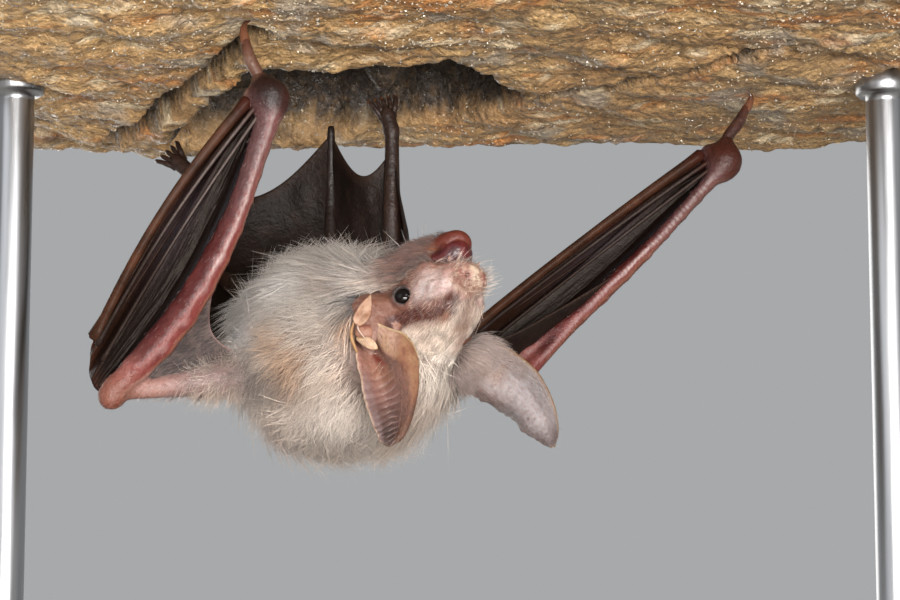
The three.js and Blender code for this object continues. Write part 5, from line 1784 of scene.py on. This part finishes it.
def flankWeb(leg, arm):
    def surface(u, w):
        legLine = [mix(leg["ankle"], leg["knee"], 0.12), leg["knee"], leg["hip"]]
        wingEnd = mix(arm["knuckle"], arm["elbow"], 0.5) + (0, 3, 0)
        free = mix(legLine[0], wingEnd, u[..., None])
        free = free + (leg["hip"] - free) * (0.28 * np.sin(math.pi * u) * w)[..., None]
        return mix(alongCurve(legLine, u), free, w[..., None])

    return surface


def pinkWeb(u, w, points):
    patchy = roughness(points, 1.3, 81, 3)
    return tinted("4a3d3a", (ease((0.3 - w) / 0.25) * 0.6, "6b4743"),
                  (0.4 + patchy, "574a46"), (ease((w - 0.8) / 0.2) * 0.4, "75594f"),
                  (ease((u - 0.95) / 0.05) * 0.8, "8f6f69"))


# near-black brown for the webs round the tail and flank, and for the right front web: dark brown skin,
# painted darker still as shade
def shadedBrownWeb(u, w, points):
    patchy = roughness(points * (1, 1, 0.5), 1.5, 83, 3)
    veins = ease((roughness(points * (0.5, 1, 1), 1.0, 85, 2) - 0.35) / 0.2)
    return tinted("120a06", (0.4 + patchy, "1c110c"), (veins * 0.4, "2b1c15"),
                  (ease((u - 0.9) / 0.1) * 0.5, "2e1d15"))


webFinish, tree, shader = newMaterial("web skin", {"Roughness": 0.55, "Specular IOR Level": 0.18})
tone = colourMix(tree, rescaled(tree, noiseOn(tree, 2100, 4), 0, 0.35, 0.45, 0.75),
                 attributeOf(tree, "flesh"), (0.4, 0.35, 0.3), "MULTIPLY")
feed(shader, tone)
roughen(tree, shader, (noiseOn(tree, 1300, 4, None, 0.5), 0.4, 0.5), (noiseOn(tree, 4400, 2), 0.1, 0.4))
for name in hands:
    arm, leg = arms[name], legs[name]
    web = webOf(frontWeb(arm), 44, 91, pinkWeb if name == "left" else shadedBrownWeb)
    for made, label, replacedNode in (
        (web, "front_web_skin_", "front_web_"),
        (webOf(tailWeb(leg), 40, 93, shadedBrownWeb), "tail_web_skin_", "tail_membrane_"),
        (webOf(flankWeb(leg, arm), 40, 95, shadedBrownWeb), "flank_web_skin_", "flank_membrane_"),
    ):
        makePiece(label + name, made, webFinish, "wing_skin", [replacedNode + name], ["flesh"])
    if name == "left":
        normals = normalsOf(web["points"], web["faces"])
        web["inner"] = (normals[:, 1] < 0).astype(float)
        shortHair("web_" + name, 2600, sideOf(web, 1), normals, np.ones(len(normals)), "arm_" + name,
                  unit(arm["elbow"] - arm["shoulder"]) + (0, 0, -0.4), 1.5 + np.zeros(len(normals)), 14,
                  ("120d0c", "2b211e"), {"wide": 0.06, "lock": 4, "gather": 0.3, "inPiece": 9000})
say("webs")

# ---- the cut piece of cave roof ----
rock = {
    "wide": 132, "deep": 88, "top": 50, "face": 33.6, "middle": 20, "columns": 212, "rows": 147,
    "sideRings": 22, "topRings": 28,
    "hollow": {  # the recess behind the wings, painted dark as shadow and shade: its front and back edge, across the rock
        "x": [-56, -50, -41, -34, -27, -16, 0, 7, 11, 13],
        "front": [66, 60, 47, 33, 18, 15.5, 14.5, 25, 37, 40],
        "back": [57, 57, 57, 57, 57, 57, 53, 46, 40, 40],
        "depth": 8.5,
    },
    # both cracks are painted dark as shade; the first, wider one carries the thumb's painted cast shadow
    "cracks": [  # line across the rock, half width, depth
        ([(-52, 56), (-42, 37), (-33, 20), (-27, 3), (-24, -2)], 1.5, 4.5),
        ([(10, 37), (20, 28.5), (30, 18), (40, 8.7), (52, 2)], 0.55, 2.0),
    ],
}
holds = [(*leg["toes"][:2], leg["toes"][2] + 1.3) for leg in legs.values()]
holds += [(*arm["claw"][-1][:2], arm["claw"][-1][2] - 0.1) for arm in arms.values()]


def hollowShare(x, y):
    shape = rock["hollow"]
    ragged = roughness(onFlat(x, y), 4, 5, 3)
    front = np.interp(x, shape["x"], shape["front"]) + 1.8 * ragged
    back = np.interp(x, shape["x"], shape["back"]) + 1.2 * ragged
    return ease((y - front) / 1.6) * ease((back - y) / 3.5) * ease((x + 56) / 4)


def crackShare(x, y, line, half):
    line = np.array(line, float)
    ragged = roughness(onFlat(x, y), 3, 7, 3)
    places = np.stack([x, y], -1)
    away = np.full(x.shape, 99.0)
    for a, b in zip(line, line[1:]):
        t = np.clip(((places - a) @ (b - a)) / ((b - a) @ (b - a)), 0, 1)
        away = np.minimum(away, np.linalg.norm(places - a - t[..., None] * (b - a), axis=-1))
    return ease((half * (1 + 0.6 * ragged) - away) / 0.8 + 0.5)


def roofFace(x, y):
    def bump(centreX, centreY, reach, drop):
        return drop * np.exp(-((x - centreX) ** 2 + (y - centreY) ** 2) / (2 * reach * reach))

    made = rock["face"] + bump(-39, 46, 11, -3.6) + bump(-9, 38, 10, 1.2) + bump(40, 27, 12, -1)
    made = made + bump(-48, 8, 16, -1.6) + bump(20, -14, 22, 1.2)
    made = made + 0.5 * np.sin(x * 0.31 + 1.3) * np.cos(y * 0.27) + 0.35 * np.sin(x * 0.13 - y * 0.42)
    flat = onFlat(x, y)
    grain = roughness(flat * (0.75, 1.25, 1), 5.5, 11, 3) * 0.9 + roughness(flat, 1.5, 13, 3) * 0.6
    strata = np.abs(roughness(flat * (0.35, 1.2, 1), 4.2, 17, 2)) * -0.8 + 0.25
    made = made + grain + strata
    made = made + hollowShare(x, y) * (rock["hollow"]["depth"] + 2.0 * roughness(flat, 3.5, 19, 3))
    for line, half, depth in rock["cracks"]:
        made = made + depth * crackShare(x, y, line, half)
    for holdX, holdY, holdZ in holds:
        made = mix(made, holdZ + 0.3 * grain, np.exp(-((x - holdX) ** 2 + (y - holdY) ** 2) / 14))
    return made


def rockShape():
    wide, deep, middle, top = rock["wide"], rock["deep"], rock["middle"], rock["top"]
    x, y = np.meshgrid(np.linspace(-wide / 2, wide / 2, rock["columns"]),
                       middle + np.linspace(-deep / 2, deep / 2, rock["rows"]))
    under = np.stack([x, y, roofFace(x, y)], -1)
    rows, columns = x.shape
    count, rim = rows * columns, rimOf(rows, columns)
    edge = under.reshape(-1, 3)[rim]
    outward = unit(np.stack([edge[:, 0] / wide, (edge[:, 1] - middle) / deep, 0 * edge[:, 0]], -1))
    rings = []
    for share in np.linspace(0.05, 1, rock["sideRings"]):
        ring = edge.copy()
        ring[:, 2] = mix(edge[:, 2], top - 0.4, share)
        ring -= outward * (0.3 + 1.3 * (0.5 + 0.5 * roughness(ring * (1, 1, 1.6), 3.2, 23, 4)))[:, None]
        rings.append(ring)
    centre, brim = np.array([0, middle, top]), rings[-1]
    for share in np.linspace(0.99, 0.03, rock["topRings"]):
        ring = centre + (brim - centre) * (share, share, 0)
        ring[:, 2] = top - 0.45 + 0.4 * roughness(ring, 4, 29, 4) * (1 if share < 0.98 else 0)
        rings.append(ring)
    points = np.concatenate([under.reshape(-1, 3), *rings, [centre - (0, 0, 0.3)]])
    around = len(rim)
    own, turnOn = np.arange(around), (np.arange(around) + 1) % around
    first = np.stack([rim, np.roll(rim, -1), count + turnOn, count + own], -1)
    sides = gridFaces(len(rings), around, count, True)
    last = count + (len(rings) - 1) * around
    fan = np.stack([last + own, last + turnOn, np.full(around, len(points) - 1)], -1)
    return {"points": points, "faces": [gridFaces(rows, columns)[:, ::-1], first, sides, fan]}


made = rockShape()
points = made["points"]
# painted shade: dark in the hollow and along the cracks
deep = ease((points[:, 2] - rock["face"] - 1.2) / 3) * (hollowShare(points[:, 0], points[:, 1]) > 0.05)
deep = np.maximum(deep, hollowShare(points[:, 0], points[:, 1]) * 0.8)
for line, half, depth in rock["cracks"]:
    deep = np.maximum(deep, crackShare(points[:, 0], points[:, 1], line, half))
deep = deep * (points[:, 2] < 47) * (np.arange(len(points)) < rock["columns"] * rock["rows"])
made["flesh"] = tinted(
    "a08259",
    (0.45 + roughness(points, 9, 101, 3) * 1.2, "8f6e48"),
    (ease((roughness(points * (0.6, 1.2, 1), 5, 103, 3) - 0.15) / 0.3) * 0.8, "a86f3c"),
    (ease((roughness(points, 6.5, 107, 3) - 0.2) / 0.3) * 0.7, "8e867a"),
    (ease((roughness(points * (0.4, 1.5, 1), 2.6, 109, 3) - 0.25) / 0.2) * 0.75, "c4b294"),
    (ease((roughness(points * (0.5, 1.4, 1), 2.2, 113, 3) - 0.3) / 0.2) * 0.7, "523f2c"),
    # painted shadow and shade in the hollow and cracks
    (ease(deep * 1.4) * 0.96, "130d09"),
)
rockFinish, tree, shader = newMaterial("cave rock", {"Roughness": 0.6})
grainNoise = noiseOn(tree, 750, 6)
tone = colourMix(tree, rescaled(tree, grainNoise, 0, 0.75, 0.5, 0.72), attributeOf(tree, "flesh"), "4d3a24")
tone = colourMix(tree, rescaled(tree, noiseOn(tree, 1700, 4), 0, 0.8, 0.56, 0.72), tone,
                 colourMix(tree, 1.0, tone, tone, "ADD"))
# painted light: the rock is brighter towards its left side
sideways = node(tree, "ShaderNodeSeparateXYZ",
                {0: node(tree, "ShaderNodeTexCoord").outputs["Object"]}).outputs[0]
paintedLightLeft = rescaled(tree, sideways, 0.3, 0, -0.06, 0.02)
tone = colourMix(tree, paintedLightLeft, tone, colourMix(tree, 1.0, tone, tone, "ADD"))
feed(shader, tone)
feed(shader, rescaled(tree, noiseOn(tree, 1300, 3), 0.2, 0.8, 0.35, 0.6), "Roughness")
roughen(tree, shader, (noiseOn(tree, 330, 6), 1.6, 0.7), (noiseOn(tree, 1300, 5), 0.7, 0.9))
makePiece("roof_rock", made, rockFinish, "rock", ["perch_rock"], ["flesh"])


def grainTree(material):
    # a tree that sets a small faceted crystal, turned and sized at random, on each point
    tree = bpy.data.node_groups.new("crystals", "GeometryNodeTree")
    tree.interface.new_socket("Geometry", in_out="INPUT", socket_type="NodeSocketGeometry")
    tree.interface.new_socket("Radius", in_out="INPUT",
                              socket_type="NodeSocketFloat").default_value = 0.0002
    tree.interface.new_socket("Seed", in_out="INPUT", socket_type="NodeSocketInt").default_value = 1
    tree.interface.new_socket("Geometry", in_out="OUTPUT", socket_type="NodeSocketGeometry")
    given = node(tree, "NodeGroupInput").outputs
    grain = node(tree, "GeometryNodeMeshIcoSphere",
                 {"Radius": given["Radius"], "Subdivisions": 1}).outputs[0]
    grain = node(tree, "GeometryNodeTransform", {"Geometry": grain, "Scale": (1, 0.75, 1.25)}).outputs[0]
    seed = given["Seed"]
    turn = node(tree, "FunctionNodeRandomValue", {"Seed": seed, 1: (6.28, 6.28, 6.28)},
                data_type="FLOAT_VECTOR")
    size = node(tree, "FunctionNodeRandomValue", {"Seed": seed, 2: 0.35, 3: 1.2}, data_type="FLOAT")
    placed = node(tree, "GeometryNodeInstanceOnPoints", {
        "Points": given["Geometry"], "Instance": grain, "Rotation": turn.outputs[0],
        "Scale": size.outputs[1]}).outputs[0]
    real = node(tree, "GeometryNodeRealizeInstances", {"Geometry": placed}).outputs[0]
    painted = node(tree, "GeometryNodeSetMaterial", {"Geometry": real, "Material": material}).outputs[0]
    tree.links.new(painted, node(tree, "NodeGroupOutput").inputs[0])
    return tree


crystals = {"count": 3600, "radius": 0.17, "seed": 3}
quartzFinish, tree, shader = newMaterial("quartz", {
    "Roughness": 0.12, "Coat Weight": 0.6, "Coat Roughness": 0.05})
tone = colourMix(tree, rescaled(tree, noiseOn(tree, 260, 2), 0, 1, 0.35, 0.65), "bda98a", "9b978f")
feed(shader, tone)
grainy = ease((roughness(points, 7, 121, 3) + 0.25) / 0.5) + 0.15
# no crystals in the painted shade
grainy *= (1 - np.clip(deep * 1.5, 0, 1)) * (1 + ease((10 - points[:, 1]) / 20))
for holdX, holdY, holdZ in holds:
    grainy *= np.hypot(points[:, 0] - holdX, points[:, 1] - holdY) > 2
between, owner = scattered(crystals["count"] // fewer, grainy, made, np.zeros(len(points), int))
settings = {"Radius": crystals["radius"] / 1000, "Seed": crystals["seed"]}
grow("rock_crystals", {"point": between(points)}, grainTree(quartzFinish), settings)
say("rock", sum(len(group) for group in made["faces"]))

# ---- the display stand ----
stand = {"corner": 7, "edge": 1.2, "foot": 0.8, "collar": 4.6, "collarHigh": 2.2}
low, high = (np.array(corner) * 1000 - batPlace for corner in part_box("stand_base"))


def outlineOf(inset, z, steps=10):
    centre = (low + high) / 2
    half = (high - low)[:2] / 2 - inset
    corner = max(stand["corner"] - inset, 0.5)
    points = []
    for quarter in range(4):
        turn = (quarter + np.linspace(0, 1, steps)) * math.pi / 2
        side = np.array([(1, 1), (-1, 1), (-1, -1), (1, -1)][quarter])
        middle = centre[:2] + side * (half - corner)
        points += [(middle[0] + corner * math.cos(a), middle[1] + corner * math.sin(a), z) for a in turn]
    return np.array(points)


def plate():
    edge, foot = stand["edge"], stand["foot"]
    rows = [outlineOf(20, low[2]), outlineOf(foot, low[2]), outlineOf(foot, low[2] + 0.5),
            outlineOf(0, low[2] + 0.9)]
    for turn in np.linspace(0, math.pi / 2, 7):
        rows.append(outlineOf(edge * (1 - math.cos(turn)), high[2] - edge + edge * math.sin(turn)))
    rows += [outlineOf(edge + 2.2, high[2]), outlineOf(edge + 2.5, high[2] - 0.35),
             outlineOf(edge + 2.9, high[2] - 0.35), outlineOf(edge + 3.2, high[2]),
             outlineOf(20, high[2])]
    centre = (low + high) / 2
    points = np.concatenate([*rows, [(centre[0], centre[1], low[2]), (centre[0], centre[1], high[2])]])
    return {"points": points, "faces": closedRings(len(rows), len(rows[0]))}


woodFinish, tree, shader = newMaterial("stained walnut", {"Roughness": 0.55, "Specular IOR Level": 0.2})
grain = noiseOn(tree, 60, 5, (0.35, 6, 6), 0.8)
tone = colourMix(tree, rescaled(tree, grain, 0, 1, 0.3, 0.7), "2a1a11", "5b3b25")
pore = rescaled(tree, noiseOn(tree, 900, 3, (0.08, 1.6, 1.6)), 0, 0.7, 0.55, 0.75)
feed(shader, colourMix(tree, pore, tone, "170d08"))
roughen(tree, shader, (noiseOn(tree, 900, 3, (0.08, 1.6, 1.6)), 0.08, 0.5))
makePiece("stand_plate", plate(), woodFinish, "base_wood", ["stand_base"])
steelFinish, tree, shader = newMaterial("brushed steel", {"Metallic": 1.0, "Roughness": 0.3})
brushed = noiseOn(tree, 1400, 3, (1, 1, 0.03))
feed(shader, rescaled(tree, brushed, 0.22, 0.42), "Roughness")
feed(shader, colourMix(tree, brushed, "8e8f92", "b9babc"))
roughen(tree, shader, (brushed, 0.02, 0.4))
for name in hands:
    start, end = (np.array(corner) * 1000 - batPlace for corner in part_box("stand_rod_" + name))
    centre, radius = (start + end) / 2, (end - start)[0] / 2
    bottom, length = np.array([centre[0], centre[1], start[2]]), end[2] - start[2]
    floorAt, collar = high[2] - start[2], stand["collar"]
    rockAt = float(roofFace(np.array([centre[0]]), np.array([centre[1]]))[0]) - start[2]
    profile = [(0, 0), (0, radius), (floorAt, radius), (floorAt + 0.01, collar),
               (floorAt + stand["collarHigh"] - 0.5, collar),
               (floorAt + stand["collarHigh"], collar - 0.5), (floorAt + stand["collarHigh"], radius)]
    profile += [(t, radius) for t in np.linspace(floorAt + 4, rockAt - 3.6, 12)]
    profile += [(rockAt - 2.6, radius), (rockAt - 2.6, collar - 1.1), (rockAt - 2.2, collar - 0.7),
                (rockAt + 1, collar - 0.7), (rockAt + 1, radius), (length, radius), (length, 0)]
    shape = revolved(bottom, (0, 0, 1), profile, 40)
    makePiece("stand_post_" + name, shape, steelFinish, "rod_metal", ["stand_rod_" + name])
say("stand")

# ---- floor, light and camera ----
floorFinish, tree, shader = newMaterial("pale floor", {"Roughness": 1.0, "Specular IOR Level": 0.02})
feed(shader, colourMix(tree, noiseOn(tree, 4, 2), "cfcbc4", "d6d2cb"))
reach = np.array([(-1500, -1200), (1500, -1200), (1500, 1500), (-1500, 1500)], float)
corners = np.concatenate([reach, np.zeros((4, 1))], 1) - batPlace
floor = makePiece("floor", {"points": corners, "faces": [np.array([[0, 1, 2, 3]])]}, floorFinish, None,
                  flatShaded=True)


def aimed(thing, place, target):
    place, target = ((np.array(point, float) + batPlace) / 1000 for point in (place, target))
    thing.location = place
    thing.rotation_euler = Vector(target - place).to_track_quat("-Z", "Y").to_euler()


lights = {  # place, width and height in mm, power in watts, spread in degrees, colour
    "key": ((70, -430, -48), (300, 60), 0.63, 72, (1.0, 0.975, 0.95)),
    "fill": ((-300, -300, 120), (300, 300), 0.35, 180, (0.95, 0.97, 1.0)),
    "upper": ((160, -360, 170), (160, 160), 0.4, 180, (1.0, 0.97, 0.94)),
    "under": ((30, -210, -74), (240, 14), 0.03, 72, (1.0, 0.97, 0.94)),
    "spark": ((30, -400, -34), (7, 7), 0.02, 180, (1.0, 1.0, 1.0)),
    "back": ((-160, 300, 20), (240, 240), 0.45, 180, (1.0, 0.98, 0.94)),
}
for name, (place, size, power, spread, colour) in lights.items():
    lamp = bpy.data.lights.new(name, "AREA")
    lamp.shape, lamp.energy, lamp.color = "RECTANGLE", power, colour
    lamp.size, lamp.size_y = size[0] / 1000, size[1] / 1000
    lamp.spread = math.radians(spread)
    aimed(inScene(name, lamp), place, (0, 0, 0))
world = bpy.data.worlds.new("studio")
world.use_nodes = True
world.node_tree.nodes["Background"].inputs[0].default_value = (0.86, 0.88, 0.9, 1)
world.node_tree.nodes["Background"].inputs[1].default_value = 0.45
bpy.context.scene.world = world
bpy.context.scene.view_settings.view_transform = "Standard"
view = {"away": 400, "rise": math.radians(9.5), "lens": 128}
camera = bpy.data.cameras.new("camera")
camera.lens, camera.sensor_width, camera.clip_start, camera.clip_end = view["lens"], 36, 0.01, 20
camera.dof.use_dof = False
holder = inScene("camera", camera)
away, low = -view["away"] * math.cos(view["rise"]), -view["away"] * math.sin(view["rise"])
aimed(holder, (0, away, low), (0, 0, 0))
bpy.context.scene.camera = holder

bpy.context.view_layer.update()
say("finished")
